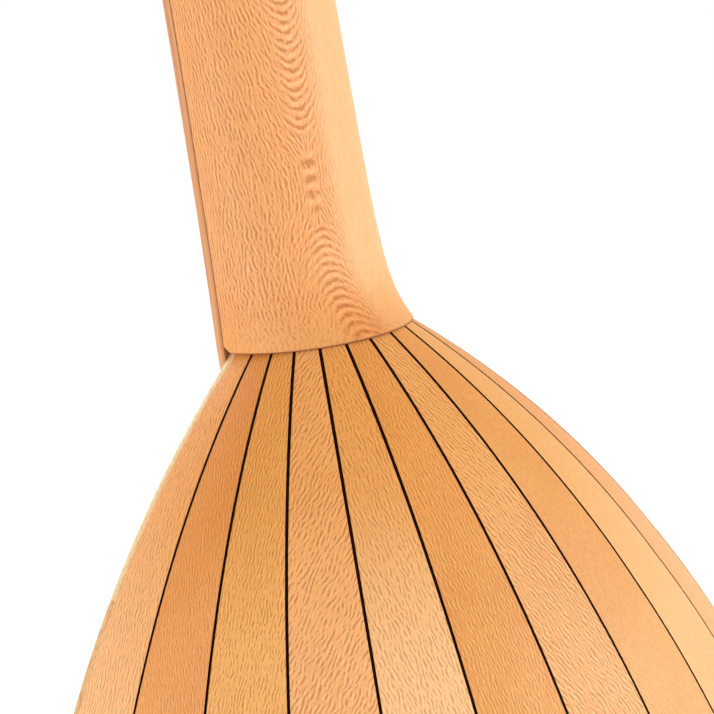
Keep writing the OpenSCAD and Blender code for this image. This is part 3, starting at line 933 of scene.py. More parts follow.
@dataclass
class Bowl:
    """Thirteen bent staves with dark fillets between them."""

    form: BowlForm
    stave_count: int = 13
    stave_thickness: float = 3.0
    fillet_width: float = 0.8
    fillet_taper: float = 0.17
    taper_end: float = 0.3
    rows: int = 116
    columns: int = 8
    seed_step: float = 3.7
    hole_reach: float = 2.2
    sound_hole_d: float = 15.0
    sound_hole_y: float = 31.0
    looks: tuple[StaveLook, ...] = (
        # Where a look ends in a colour, that colour tints its painted shade near the heel.
        StaveLook((252, 190, 130), (255, 207, 151), (221, 151, 93), (253, 187, 125), 7.0, 0.78, 1.0,
                  (242, 212, 154)),
        StaveLook((234, 153, 81), (250, 179, 110), (213, 135, 68), (246, 171, 102), 12.0, 0.6, 0.85),
        StaveLook((238, 164, 87), (255, 192, 118), (213, 139, 70), (251, 184, 108), -8.0, 0.64, 0.95),
        StaveLook((246, 171, 107), (255, 199, 140), (214, 139, 77), (255, 186, 123), -30.0, 0.8, 0.9),
        StaveLook((249, 190, 129), (255, 212, 156), (228, 160, 104), (255, 200, 143), 8.0, 0.72, 0.95,
                  (237, 205, 147)),
        StaveLook((244, 173, 101), (252, 186, 118), (209, 137, 69), (230, 154, 80), 2.0, 0.66, 0.8),
        StaveLook((248, 184, 118), (254, 198, 134), (214, 144, 84), (237, 166, 100), 16.0, 0.8, 1.0),
        StaveLook((248, 181, 113), (250, 188, 122), (222, 152, 86), (235, 163, 93), 4.0, 0.62, 0.75),
        StaveLook((248, 190, 127), (253, 202, 142), (236, 174, 112), (246, 184, 119), 2.0, 0.7, 0.5),
        StaveLook((243, 178, 116), (252, 192, 132), (226, 156, 96), (245, 174, 110), 6.0, 0.8, 0.7),
        StaveLook((240, 172, 108), (250, 188, 124), (214, 144, 82), (242, 168, 100), -18.0, 0.8, 0.9),
        StaveLook((236, 162, 94), (246, 178, 110), (212, 138, 72), (238, 160, 90), 6.0, 0.7, 0.8),
        StaveLook((240, 170, 106), (252, 188, 126), (212, 142, 82), (242, 166, 100), 16.0, 0.8, 0.9),
    )

    def hole_seat(self) -> tuple[Vector, float]:
        """Middle of the sound hole in millimetres, and its axis's tilt from the neck's line."""
        depth, run = self.form.profile.at(self.form.belly), self.form.tail_run
        angle = math.acos(self.sound_hole_y / depth)
        middle = Vector((0.0, self.sound_hole_y, HEEL_Z - self.form.belly - run * math.sin(angle)))
        return middle, math.atan(run / depth / math.tan(angle))

    def hole_cutter(self) -> Piece:
        """Cylinder for the sound hole, square to the tail's surface."""
        middle, tilt = self.hole_seat()
        reach = Vector((0.0, math.sin(tilt), -math.cos(tilt))) * 20.0
        return Bench.rod("sound_hole_cutter", middle - reach, middle + reach, self.sound_hole_d / 2.0)

    def strip(self, name: str, share_from: float, share_to: float, offset_from: float,
              offset_to: float, columns: int) -> Piece:
        """Bends one strip of the bowl's wall.

        Args:
            name: Name of the piece.
            share_from: Share of the girth where it starts.
            share_to: Share of the girth where it ends.
            offset_from: Millimetres from the first share.
            offset_to: Millimetres from the second share.
            columns: Faces across the strip.

        Returns:
            The open strip, facing outwards.
        """
        stations = self.form.front_stations + self.form.tail_stations

        def place(across: float, along: float) -> Vector:
            """Finds the strip's point on the bowl, where the fillets get thinner away from the heel."""
            share = share_from + (share_to - share_from) * across
            offset = offset_from + (offset_to - offset_from) * across
            thinner = 1.0 - self.fillet_taper * smooth_step(along, 0.0, self.taper_end)
            return self.form.point(self.form.section(stations * along), share, thinner * offset)

        piece = Bench.sheet(name, columns, self.rows, place)
        middle = Vector((0.0, 0.0, (HEEL_Z - self.form.belly) * MM))
        Bench.face_towards(piece, lambda centre: centre - middle)
        return piece

    def figure_of(self, number: int) -> Figure:
        """Flecks of a stave, slanted to its own middle line."""
        look = self.looks[number - 1]
        middle_share = (number - 0.5) / self.stave_count

        def figure(point: Vector) -> Spot:
            """Finds how far a point lies across and along the stave."""
            s = HEEL_Z - point.z
            if s <= self.form.belly:
                share = (max(0.0, s) / self.form.belly) ** (1.0 / self.form.station_ease)
                section = self.form.section(self.form.front_stations * share)
            else:
                ratio = min(0.9915, (s - self.form.belly) / self.form.tail_run)
                section = self.form.tail_section(math.degrees(math.asin(ratio)))
            middle = self.form.point(section, middle_share)
            tangent = (self.form.point(section, middle_share + 0.01)
                       - self.form.point(section, middle_share - 0.01)).normalized()
            across = (point - middle).dot(tangent)
            along = s + 0.35 * middle.xy.length
            return Spot(across / look.size, -along / look.size, look.lean)

        return figure

    def wall(self, strip: Piece, off_centre: float) -> None:
        """Gives a strip its thickness, and the sound hole where it lies close to the middle.

        Args:
            strip: The open strip.
            off_centre: How many staves its middle lies from the bowl's middle.
        """
        Bench.thicken(strip, self.stave_thickness)
        if abs(off_centre) < self.hole_reach:
            Bench.bore(strip, [self.hole_cutter()])

    def build(self) -> None:
        """Builds the staves and the fillets and ties them to the frame."""
        half = self.fillet_width / 2.0
        for number in range(1, self.stave_count + 1):
            name = f"stave_{number:02d}"
            piece = self.strip(f"bent_{name}", (number - 1) / self.stave_count, number / self.stave_count,
                               0.0 if number == 1 else half, 0.0 if number == self.stave_count else -half,
                               self.columns)
            self.wall(piece, number - 0.5 - self.stave_count / 2.0)
            Bench.smooth(piece)
            Bench.write_figure(piece, self.figure_of(number))
            look = self.looks[number - 1]
            wood = FleckWood(f"stave_wood_{number:02d}", look.ground, look.light, look.fleck, look.warm,
                             seed=self.seed_step * number, contrast=look.contrast,
                             heel_shade_tint=look.heel_shade_tint)
            finish_piece(piece, wood.material(), ROOT_BODY, "stave_wood", name)
        strips = []
        for seam in range(1, self.stave_count):
            share = seam / self.stave_count
            strip = self.strip(f"fillet_{seam:02d}", share, share, -half, half, 1)
            self.wall(strip, seam - self.stave_count / 2.0)
            strips.append(strip)
        fillets = Bench.join("dark_fillets", strips)
        Bench.smooth(fillets)
        dark = PlainWood("fillet_wood", (30, 9, 6), (14, 3, 2), rings=900.0, gloss=0.85, shine=0.05)
        finish_piece(fillets, dark.material(), ROOT_BODY, "dark_wood", "fillets")


# ------------------------------------------------------------------ neck
@dataclass
class NeckForm:
    """Half width and depth of the neck by height over the heel."""

    length: float = 560.0
    nut_half: float = 15.0
    nut_deep: float = 14.0
    roundness: float = 2.05
    widening: float = 6.0
    deepening: float = 1.9
    flare: float = 2.0
    flare_run: float = 45.0
    cove: float = 12.1
    cove_run: float = 7.75

    def half(self, h: float) -> float:
        """Half width at a height over the heel."""
        flare = self.flare * math.exp(-h / self.flare_run)
        return self.nut_half + self.widening * (1.0 - h / self.length) + flare

    def cove_rise(self, h: float) -> float:
        """How far the cove stands out of the straight back at a height over the heel."""
        return self.cove * math.exp(-h / self.cove_run)

    def deep(self, h: float) -> float:
        """Depth of the round back at a height over the heel."""
        return self.nut_deep + self.deepening * (1.0 - h / self.length) + self.cove_rise(h)

    @staticmethod
    def ring(half: float, deep: float, roundness: float, z: float, grow: float, front: float,
             steps: int = 56) -> list[Vector]:
        """Ring of a round-backed section with a flat front.

        Args:
            half: Half width.
            deep: Depth behind the rim plane.
            roundness: Power of the section's curve.
            z: Height of the ring.
            grow: Millimetres to grow on all sides.
            front: Level of the flat front.
            steps: Points over the back.

        Returns:
            The ring's points in millimetres.
        """
        form = (half + grow, deep + grow, 0.0, roundness)
        back = [BowlForm.round_point(180.0 * step / steps, form) for step in range(steps + 1)]
        flat = front - grow
        return [Vector((x, y, z)) for x, y in [(half + grow, flat), *back, (-half - grow, flat)]]


@dataclass
class Neck:
    """Neck, fingerboard and their glue line."""

    form: NeckForm
    rows: int = 220
    row_ease: float = 2.1
    edge_round: float = 0.45
    corner_round: float = 1.5
    corner_height: float = 4.0
    ridge_angle: float = 83.0
    tongue_length: float = 24.0
    tongue_round: float = 14.0
    tongue_share: float = 0.15
    fleck_size: float = 0.8
    spots_from: float = 28.0
    spots_to: float = 44.0
    cup_pitch: float = 2.1
    spot_pitch: float = 3.5
    cap_pitch: float = 1.95
    cup_lean: float = 4.0
    cap_lean: float = 2.0
    lean_swing: float = 30.0
    lean_run: float = 6.0
    straight_h: float = 60.0
    girth_steps: int = 90
    girths: list[float] = field(default_factory=list)

    def height_at(self, share: float) -> float:
        """Height over the heel for a share of the neck's rings, close together in the cove."""
        return self.form.length * share ** self.row_ease

    @staticmethod
    def rounded(radius: float, past: float) -> float:
        """How far a rounded edge falls back where its arc is past its start by some millimetres."""
        return radius - math.sqrt(max(0.0, radius ** 2 - max(0.0, past) ** 2))

    def neck_ring(self, share: float) -> list[Vector]:
        """Ring of the neck, with its lowest edge and its two front corners rounded."""
        h = self.height_at(share)
        inset = self.rounded(self.edge_round, self.edge_round - h)
        ring = NeckForm.ring(self.form.half(h), self.form.deep(h), self.form.roundness, HEEL_Z + h, -inset,
                             BOARD_Y - inset)
        fade = max(0.0, 1.0 - h / self.corner_height)
        for point in ring:
            point.z += fade * self.rounded(self.corner_round, self.corner_round - (point.y - BOARD_Y))
        return ring

    def girth_from_ridge(self, point: Vector) -> float:
        """Millimetres over the neck's back from its ridge to a point, towards -X.

        Args:
            point: A point of the neck in millimetres.

        Returns:
            The distance as measured on the straight part of the neck.
        """
        h = max(0.0, point.z - HEEL_Z)
        form, steps = self.form, self.girth_steps
        straight = (form.half(self.straight_h), form.deep(self.straight_h), 0.0, form.roundness)
        if not self.girths:
            self.girths.append(0.0)
            for step in range(steps):
                ends = [BowlForm.round_point(180.0 * (step + end) / steps, straight) for end in (0, 1)]
                self.girths.append(self.girths[-1] + math.dist(*ends))

        def reach(angle: float) -> float:
            """Girth from the +X edge to an angle."""
            place = min(steps - 1e-6, max(0.0, angle / 180.0 * steps))
            low = int(place)
            return self.girths[low] + (self.girths[low + 1] - self.girths[low]) * (place - low)

        turn = math.degrees(math.atan2(max(0.0, point.y) / form.deep(h), point.x / form.half(h)))
        ridge = math.degrees(math.atan2(straight[1] * math.sin(math.radians(self.ridge_angle)),
                                        straight[0] * math.cos(math.radians(self.ridge_angle))))
        beyond = min(0.0, point.y) if point.x > 0.0 else max(0.0, -point.y)
        return reach(turn) - reach(ridge) + beyond

    def figure(self, point: Vector) -> Spot:
        """Rays of the neck's wood, which lie flat to the surface along the ridge.

        Args:
            point: A point of the neck in millimetres.

        Returns:
            The figure: cups up the neck, spots below them, caps in the cove, and
            slanted flecks beside them all.
        """
        h = point.z - HEEL_Z
        across = self.girth_from_ridge(point)
        swing = self.lean_swing * math.exp(-max(0.0, abs(across) - 2.0) / self.lean_run)
        cup_lean, cap_lean = self.cup_lean + swing, self.cap_lean - swing
        side = max(-1.0, min(1.0, -across / 1.2))
        lean = side * (cap_lean + (cup_lean - cap_lean) * smooth_step(h, 25.0, 48.0))
        if h > self.spots_to:
            phase, share = self.cups(h, across)
        elif h > self.spots_from:
            phase, share = self.spots(h, across)
        else:
            phase, share = self.caps(h, across)
        # Low strength towards -X also turns the wood pale, partly as a painted highlight on the neck's lit
        # side.
        strength = 0.9 - 0.75 * smooth_step(across, 2.5, 9.0)
        strength *= 1.0 - 0.6 * (1.0 - smooth_step(h, 1.0, 12.0)) * smooth_step(-across, 1.0, 5.0)
        up = h - self.form.cove_rise(max(0.0, h))
        return Spot(across / self.fleck_size, up / self.fleck_size, lean, strength, phase, share)

    def cups(self, h: float, across: float) -> tuple[float, float]:
        """Phase and share of the nested cups, which wander off the ridge further up."""
        high = smooth_step(h, 90.0, 140.0)
        off = across + 2.4 * high * math.sin((h - 90.0) / 62.0)
        phase = (h - 1.5 * (math.hypot(off, 3.6) - 3.6)) / self.cup_pitch
        share = smooth_step(h, self.spots_to, self.spots_to + 5.0)
        share *= 1.0 - high * (0.4 + 0.4 * math.sin(h / 27.0))
        return phase, share * math.exp(-(off / 4.0) ** 2)

    def spots(self, h: float, across: float) -> tuple[float, float]:
        """Phase and share of the row of spots, which fades at both ends."""
        share = smooth_step(h, self.spots_from, self.spots_from + 3.0)
        share *= 1.0 - smooth_step(h, self.spots_to - 3.0, self.spots_to)
        return (h - 2.0) / self.spot_pitch, share * math.exp(-(across / 1.7) ** 4)

    def caps(self, h: float, across: float) -> tuple[float, float]:
        """Phase and share of the nested caps in the cove."""
        phase = (h + 0.9 * (math.hypot(across, 2.4) - 2.4)) / self.cap_pitch
        share = 1.0 - smooth_step(h, self.spots_from - 4.0, self.spots_from)
        return phase, share * math.exp(-(across / 3.6) ** 2)

    def build(self) -> None:
        """Builds the neck and the fingerboard and ties them to the frame."""
        neck = Bench.loft("shaped_neck", self.neck_ring, self.rows)
        Bench.smooth(neck, 40.0)
        Bench.write_figure(neck, self.figure)
        # The neck's wood carries a painted shade just above the heel.
        wood = FleckWood("neck_wood", (241, 165, 103), (255, 188, 124), (206, 130, 70), (240, 160, 94),
                         seed=1.3, glue_z=HEEL_Z, heel_shade_tint=(248, 234, 206))
        finish_piece(neck, wood.material(), ROOT_BODY, "neck_wood", "neck")
        self.build_fingerboard()

    def board_half(self, z: float) -> float:
        """Half width of the fingerboard at a height, with its rounded tongue."""
        h = z - HEEL_Z
        if h >= 0.0:
            return self.form.half(h)
        full = self.form.half(0.0)
        start = -self.tongue_length + self.tongue_round
        if h >= start:
            return full
        return full * math.sqrt(max(0.0, 1.0 - ((start - h) / self.tongue_round) ** 2))

    def build_fingerboard(self) -> None:
        """Builds the fingerboard with its tongue over the soundboard."""
        low = HEEL_Z - self.tongue_length

        def place(across: float, along: float) -> Vector:
            """Finds the point of the fingerboard's face."""
            z, first = low + self.tongue_round, self.tongue_share
            if along < first:
                z -= self.tongue_round * math.cos(along / first * math.pi / 2.0)
            else:
                z += (NUT_Z - z) * (along - first) / (1.0 - first)
            return Vector((self.board_half(z) * (2.0 * across - 1.0), FINGERBOARD_Y, z))

        board = Bench.plate("fingerboard_plate", 10, 120, place, outwards_front,
                            BOARD_Y - FINGERBOARD_Y, 0.35)
        Bench.smooth(board)
        wood = PlainWood("fingerboard_wood", (226, 158, 104), (186, 112, 66), rings=520.0, contrast=0.6,
                         glue_y=BOARD_Y)
        finish_piece(board, wood.material(), ROOT_BODY, "fingerboard_wood", "fingerboard")


# ------------------------------------------------------------------ soundboard
@dataclass
class Soundboard:
    """Spruce top in a pale middle piece and two darker wings."""

    form: BowlForm
    thickness: float = 2.0
    centre_half: float = 64.0
    seam: float = 0.05

    def half_at(self, z: float) -> float:
        """Half width of the board at a height."""
        s = HEEL_Z - z
        if s <= self.form.belly:
            return self.form.outline.at(max(0.0, s))
        ratio = min(1.0, (s - self.form.belly) / self.form.tail_run)
        return self.form.outline.at(self.form.belly) * math.sqrt(1.0 - ratio * ratio)

    def crossing(self, low: float, high: float) -> float:
        """Height at which the outline is as wide as the middle piece, between two heights."""
        for _ in range(50):
            middle = (low + high) / 2.0
            low, high = (middle, high) if self.half_at(middle) < self.centre_half else (low, middle)
        return low

    @staticmethod
    def spaced(start: float, end: float, rows: int) -> list[float]:
        """Heights from one to another, closer together near both."""
        return [start + (end - start) * (1.0 - math.cos(math.pi * row / rows)) / 2.0
                for row in range(rows + 1)]

    def plate(self, name: str, heights: Sequence[float], columns: int,
              span: Callable[[float], tuple[float, float]]) -> Piece:
        """Makes one board of the top.

        Args:
            name: Name of the piece.
            heights: Heights of its rows of points.
            columns: Faces across it.
            span: Gives its two edges at a height.

        Returns:
            The board.
        """
        rows = len(heights) - 1

        def place(across: float, along: float) -> Vector:
            """Finds the point of the board's face."""
            z = heights[round(along * rows)]
            start, end = span(z)
            return Vector((start + (end - start) * across, BOARD_Y, z))

        board = Bench.plate(name, columns, rows, place, outwards_front, self.thickness, 0.25, angle=60.0)
        Bench.smooth(board)
        return board

    def build(self) -> None:
        """Builds the three boards and ties them to the frame."""
        spruce = PlainWood("spruce", (243, 208, 156), (212, 166, 108), Grain.DOWN_THE_TOP, 1300.0, 0.5,
                           0.42).material()
        side = PlainWood("wing_wood", (232, 182, 122), (196, 134, 78), Grain.DOWN_THE_TOP, 900.0, 0.55,
                         0.42).material()
        tail_z = HEEL_Z - self.form.length

        def centre_span(z: float) -> tuple[float, float]:
            """Edges of the middle piece."""
            half = min(self.centre_half - self.seam, self.half_at(z))
            return -half, half

        upper = self.crossing(HEEL_Z, HEEL_Z - self.form.belly)
        lower = self.crossing(tail_z, HEEL_Z - self.form.belly)
        heights = (self.spaced(HEEL_Z, upper, 40)[:-1] + self.spaced(upper, lower, 40)[:-1]
                   + self.spaced(lower, tail_z, 60))
        centre = self.plate("board_centre", heights, 20, centre_span)
        finish_piece(centre, spruce, ROOT_BODY, "spruce", "soundboard_centre")
        for name, sign in (("treble", 1.0), ("bass", -1.0)):
            def wing_span(z: float, sign: float = sign) -> tuple[float, float]:
                """Edges of a wing."""
                edge = max(self.centre_half + self.seam, self.half_at(z))
                return sign * (self.centre_half + self.seam), sign * edge

            wing = self.plate(f"board_{name}", self.spaced(upper, lower, 110), 8, wing_span)
            finish_piece(wing, side, ROOT_BODY, "side_wood", f"soundboard_{name}")


# ------------------------------------------------------------------ head and pegs
@dataclass
class Head:
    """Flat head that the pegs stand in, with the hanging hole in its tip."""

    neck: NeckForm
    length: float = 176.0
    tip: float = 14.0
    tip_share: float = 0.94
    half_top: float = 12.5
    deep: float = 17.0
    square: float = 3.6
    ease_length: float = 45.0
    fleck_size: float = 0.8
    peg_pitch: float = 36.0
    peg_row_start: float = 38.0
    side_peg_y: float = 2.5
    shank_radius: float = 3.6
    winding_level: float = 4.4
    winding_clear: float = 0.3
    hole_radius: float = 2.5

    def half(self, h: float) -> float:
        """Half width at a height over the nut."""
        return self.neck.nut_half + (self.half_top - self.neck.nut_half) * h / self.length

    def ring(self, share: float) -> list[Vector]:
        """Ring of the head for a share of its length."""
        h = share * (self.length + self.tip)
        beyond = max(0.0, (h - self.length) / self.tip)
        shrink = math.sqrt(1.0 - (self.tip_share * beyond) ** 2)
        ease = smooth_step(h, 0.0, self.ease_length)
        deep = self.neck.nut_deep + (self.deep - self.neck.nut_deep) * ease
        power = self.neck.roundness + (self.square - self.neck.roundness) * ease
        return NeckForm.ring(self.half(h) * shrink, deep * (0.5 + 0.5 * shrink), power, NUT_Z + h, 0.0,
                             BOARD_Y, 48)

    def peg_height(self, number: int) -> float:
        """Height of a peg over the nut; the side pegs stand halfway between the front ones."""
        place = number - 1 if self.peg_seat(number) is Seat.FRONT else number - FRONT_PEGS - 0.5
        return self.peg_row_start + self.peg_pitch * place

    def peg_seat(self, number: int) -> Seat:
        """Side of the head that a peg stands in."""
        return Seat.FRONT if number <= FRONT_PEGS else Seat.SIDE

    def peg_foot(self, number: int) -> Vector:
        """Point of the head's surface where a peg comes out."""
        h = self.peg_height(number)
        if self.peg_seat(number) is Seat.FRONT:
            return Vector((1.0 + 1.5 * (number - 1), BOARD_Y, NUT_Z + h))
        return Vector((-self.half(h), self.side_peg_y, NUT_Z + h))

    def peg_axis(self, number: int) -> Vector:
        """Direction in which a peg stands out."""
        return Vector((0.0, -1.0, 0.0)) if self.peg_seat(number) is Seat.FRONT else Vector((-1.0, 0.0, 0.0))

    def build(self) -> None:
        """Builds the head, bores it and ties it to the frame."""
        head = Bench.loft("shaped_head", self.ring, 60, lambda share: 1.0 - (1.0 - share) ** 1.5)
        Bench.soften(head, 0.8, 3, 50.0)
        bores = [(self.peg_foot(number), self.peg_axis(number) * 30.0, self.shank_radius + 0.04)
                 for number in range(1, PEG_COUNT + 1)]
        bores.append((Vector(), Vector((0.0, 30.0, 0.0)), self.hole_radius))
        Bench.bore(head, [Bench.rod("bore", middle - reach, middle + reach, radius)
                          for middle, reach, radius in bores])
        Bench.smooth(head, 30.0)

        def figure(point: Vector) -> Spot:
            """Flecks of the head, on from the neck's."""
            # Low strength towards -X also turns the wood pale, partly as a painted highlight on the head's
            # lit side.
            strength = 0.8 - 0.6 * smooth_step(-point.x, 3.0, 11.0)
            size = self.fleck_size
            return Spot((point.y - 1.3 * point.x) / size, point.z / size, 14.0, strength)

        Bench.write_figure(head, figure)
        wood = FleckWood("head_wood", (242, 170, 108), (252, 188, 128), (210, 138, 78), (240, 164, 98),
                         seed=8.1, contrast=0.8)
        finish_piece(head, wood.material(), ROOT_BODY, "neck_wood", "head")


@dataclass
class Pegs:
    """Seven turned pegs with flat handles and the string's end wound on each."""

    head: Head
    strings: "Strings"
    free: float = 15.0
    below_front: float = 21.0
    below_side: float = 31.0
    collar_radius: float = 5.25
    handle_height: float = 19.0
    handle_width: float = 25.0
    handle_thickness: float = 8.0
    rim_round: float = 4.2
    stem_height: float = 6.0
    stem_half: float = 3.6
    waist_half: float = 4.2

    def shank(self, below: float) -> Piece:
        """Turns the shank with its rounded foot and beaded collar."""
        radius, collar, free = self.head.shank_radius, self.collar_radius, self.free
        profile = [(0.0, -below), (radius - 0.8, -below), (radius - 0.2, -below + 0.5),
                   (radius, -below + 1.2), (radius, free - 1.6), (radius + 0.35, free - 0.9),
                   (radius, free - 0.3), (collar - 0.7, free), (collar, free + 0.8),
                   (collar - 0.1, free + 1.5), (collar - 0.9, free + 2.2), (radius, free + 3.1),
                   (0.0, free + 3.2)]
        piece = Bench.turned("peg_shank", profile, 48)
        Bench.smooth(piece, 45.0)
        return piece

    def handle(self) -> Piece:
        """Shapes the flat handle: a stem that spreads into a rounded bar, dished on both faces."""
        base = self.free + 2.2
        height, rim, waist = self.handle_height, self.rim_round, self.waist_half

        def outline(share: float) -> tuple[float, float]:
            """Half width and height of the handle's side view for a share of its height."""
            rise = height * share
            if rise < self.stem_height:
                width = self.stem_half + (waist - self.stem_half) * (rise / self.stem_height) ** 2
            else:
                width = waist + (self.handle_width / 2.0 - waist) * smooth_step(rise, 5.0, 12.6)
            past = max(0.0, (rise - height + rim) / rim)
            return width - rim * (1.0 - math.sqrt(max(0.0, 1.0 - past ** 2))), rise

        def ring(share: float) -> list[Vector]:
            """Level ring of the handle, an oval that thins towards its rim."""
            width, rise = outline(share)
            points = []
            for step in range(40):
                turn = 2.0 * math.pi * step / 40.0
                c, s = math.cos(turn), math.sin(turn)
                x = width * math.copysign(abs(c) ** 0.62, c)
                dish = 1.0 - 0.34 * smooth_step(rise, 5.0, 12.0) * (1.0 - abs(x / width) ** 2)
                crown = math.sqrt(max(0.0, 1.0 - max(0.0, (rise - height + 3.0) / 3.0) ** 2))
                thick = self.handle_thickness / 2.0 * dish * (0.35 + 0.65 * crown)
                thick *= min(1.0, 0.82 + rise / 30.0)
                points.append(Vector((x, thick * math.copysign(abs(s) ** 0.7, s), base + rise)))
            return points

        piece = Bench.loft("peg_handle", ring, 34, lambda share: 1.0 - (1.0 - share) ** 1.6)
        Bench.smooth(piece, 50.0)
        return piece

    def placed(self, number: int) -> Matrix:
        """Turn and place of a peg that is drawn along Z, in metres."""
        turn, axis = (90.0, "X") if self.head.peg_seat(number) is Seat.FRONT else (-90.0, "Y")
        foot = Matrix.Translation(self.head.peg_foot(number) * MM)
        return foot @ Matrix.Rotation(math.radians(turn), 4, axis)

    def winding_path(self, number: int, wire: float) -> list[Vector]:
        """Coil of the string's end on a peg's shank.

        Args:
            number: The peg.
            wire: Radius of the string.

        Returns:
            Points of the coil in millimetres.
        """
        foot = self.head.peg_foot(number)
        front = self.head.peg_seat(number) is Seat.FRONT
        inner = self.head.shank_radius + wire
        outer = inner + self.head.winding_clear
        turns, steps = 5.5, 30
        path = []
        for step in range(int(turns * steps) + 1):
            turn = 2.0 * math.pi * step / steps
            radius = outer + (inner - outer) * min(1.0, step / (steps / 4.0))
            pitch = wire * 2.1 * (1.0 if step > steps / 4 else 0.5)
            level = self.head.winding_level - step / steps * pitch
            aside, rise = radius * math.cos(turn), radius * math.sin(turn)
            path.append(foot + Vector((aside, -level, rise) if front else (-level, -aside, rise)))
        return path

    def build(self) -> None:
        """Builds the pegs and their windings and ties them to the frame."""
        wood = PlainWood("peg_wood", (92, 50, 30), (40, 20, 12), Grain.INTO_THE_HEAD, 500.0, 0.8,
                         0.28).material()
        masters = {seat: Bench.join(f"{seat.value}_peg", [self.shank(below), self.handle()])
                   for seat, below in ((Seat.FRONT, self.below_front), (Seat.SIDE, self.below_side))}
        for number in range(1, PEG_COUNT + 1):
            master = masters[self.head.peg_seat(number)]
            peg = Bench.copy(master, f"turned_peg_{number}", self.placed(number))
            finish_piece(peg, wood, f"peg_{number}", "peg_wood", f"peg_{number}")
            index = self.strings.peg_of.index(number)
            wire = self.strings.radius(index)
            coil = Bench.wire(f"winding_{number}", [self.winding_path(number, wire)], wire)
            finish_piece(coil, self.strings.material(index), f"peg_{number}", "string_steel")
        for master in masters.values():
            bpy.data.objects.remove(master)


# ------------------------------------------------------------------ strings and what carries them
@dataclass
class Strings:
    """Seven strings in three courses, from the pegs to the tailpiece's pins."""

    head: Head
    course_of: tuple[int, ...] = (0, 0, 0, 1, 1, 2, 2)
    place_in_course: tuple[float, ...] = (1.0, 0.0, -1.0, 0.5, -0.5, 0.5, -0.5)
    peg_of: tuple[int, ...] = (4, 3, 2, 1, 7, 6, 5)
    wound: tuple[int, ...] = (2, 4, 5)
    nut_course_x: tuple[float, ...] = (8.5, 0.0, -8.5)
    bridge_course_x: tuple[float, ...] = (18.0, 0.0, -18.0)
    pin_z: float = -1141.3
    pin_radius: float = 1.1
    saddle_z: float = HEEL_Z - 391.0
    wound_radius: float = 0.275
    plain_radius: float = 0.15
    nut_gap: float = 1.9
    bridge_gap: float = 2.6
    pin_gap: float = 4.4
    nut_lead: float = 4.0
    loop_from: float = 30.0
    loop_sweep: float = 300.0
    loop_steps: int = 16
    twist_steps: int = 44
    twist_rise: float = 0.11
    finishes: dict[str, bpy.types.Material] = field(default_factory=dict)

    def radius(self, index: int) -> float:
        """Radius of a string."""
        return self.wound_radius if index in self.wound else self.plain_radius

    def material(self, index: int) -> bpy.types.Material:
        """Finish of a string."""
        name = "wound_wire" if index in self.wound else "plain_wire"
        if name not in self.finishes:
            finish = (Metal(name, (196, 150, 96), (150, 104, 62), 0.3, 0.24) if index in self.wound
                      else Metal(name, (206, 208, 212), (160, 162, 166), 0.22))
            self.finishes[name] = finish.material()
        return self.finishes[name]

    def nut_x(self, index: int) -> float:
        """Place of a string across the nut."""
        return self.nut_course_x[self.course_of[index]] + self.place_in_course[index] * self.nut_gap

    def bridge_x(self, index: int) -> float:
        """Place of a string across the bridge."""
        return self.bridge_course_x[self.course_of[index]] + self.place_in_course[index] * self.bridge_gap

    def pin_x(self, index: int) -> float:
        """Place of a string's pin."""
        return (PEG_COUNT // 2 - index) * self.pin_gap

    def saddle_x(self, index: int) -> float:
        """Place of a string across the tail saddle."""
        share = (BRIDGE_Z - self.saddle_z) / (BRIDGE_Z - self.pin_z)
        return self.bridge_x(index) + (self.pin_x(index) - self.bridge_x(index)) * share

    def start(self, index: int) -> Vector:
        """Point where a string leaves its peg."""
        number = self.peg_of[index]
        foot = self.head.peg_foot(number)
        clear = self.head.shank_radius + self.radius(index) + self.head.winding_clear
        level = self.head.winding_level
        front = self.head.peg_seat(number) is Seat.FRONT
        return foot + Vector((clear, -level, 0.0) if front else (-level, -clear, 0.0))

    def path(self, index: int) -> list[Vector]:
        """Points of a string from its peg to the loop round its pin."""
        radius = self.radius(index)
        x, reach = self.pin_x(index), self.pin_radius + radius
        top = self.pin_z + reach + 0.05
        points = [self.start(index), Vector((self.nut_x(index), STRING_Y_NUT, NUT_Z + self.nut_lead)),
                  Vector((self.nut_x(index), STRING_Y_NUT, NUT_Z)),
                  Vector((self.bridge_x(index), STRING_Y_BRIDGE, BRIDGE_Z)),
                  Vector((self.saddle_x(index), STRING_Y_SADDLE, self.saddle_z)),
                  Vector((x, STRING_Y_PIN, top + 3.0))]
        for step in range(self.loop_steps + 1):
            turn = math.radians(self.loop_from + self.loop_sweep * step / self.loop_steps)
            points.append(Vector((x + reach * math.sin(turn), STRING_Y_PIN + 0.02 * step,
                                  self.pin_z + reach * math.cos(turn))))
        twist = 2.05 * radius
        for step in range(1, self.twist_steps + 1):
            turn = 2.0 * math.pi * step / 8.0
            points.append(Vector((x + twist * math.cos(turn), STRING_Y_PIN + twist * math.sin(turn),
                                  top + 0.6 + self.twist_rise * step)))
        return points

    def build(self) -> None:
        """Builds the three courses and ties them to the frame."""
        for course, name in enumerate(("treble", "middle", "bass")):
            for wound, label in ((False, "plain"), (True, "wound")):
                members = [index for index in range(PEG_COUNT)
                           if self.course_of[index] == course and (index in self.wound) is wound]
                if members:
                    piece = Bench.wire(f"{label}_strings_{name}", [self.path(index) for index in members],
                                       self.radius(members[0]), sides=3)
                    finish_piece(piece, self.material(members[0]), ROOT_BODY, "string_steel",
                                 f"strings_{name}")

    def slots(self, at: Callable[[int], Vector], clearance: float, length: float) -> list[Piece]:
        """Cutters for the grooves that the strings lie in.

        Args:
            at: Gives the point of each string.
            clearance: Room round the string.
            length: Length of the groove along Z.

        Returns:
            One rod for each string.
        """
        reach = Vector((0.0, 0.0, length / 2.0))
        return [Bench.rod("string_slot", at(index) - reach, at(index) + reach,
                          self.radius(index) + clearance, 16) for index in range(PEG_COUNT)]


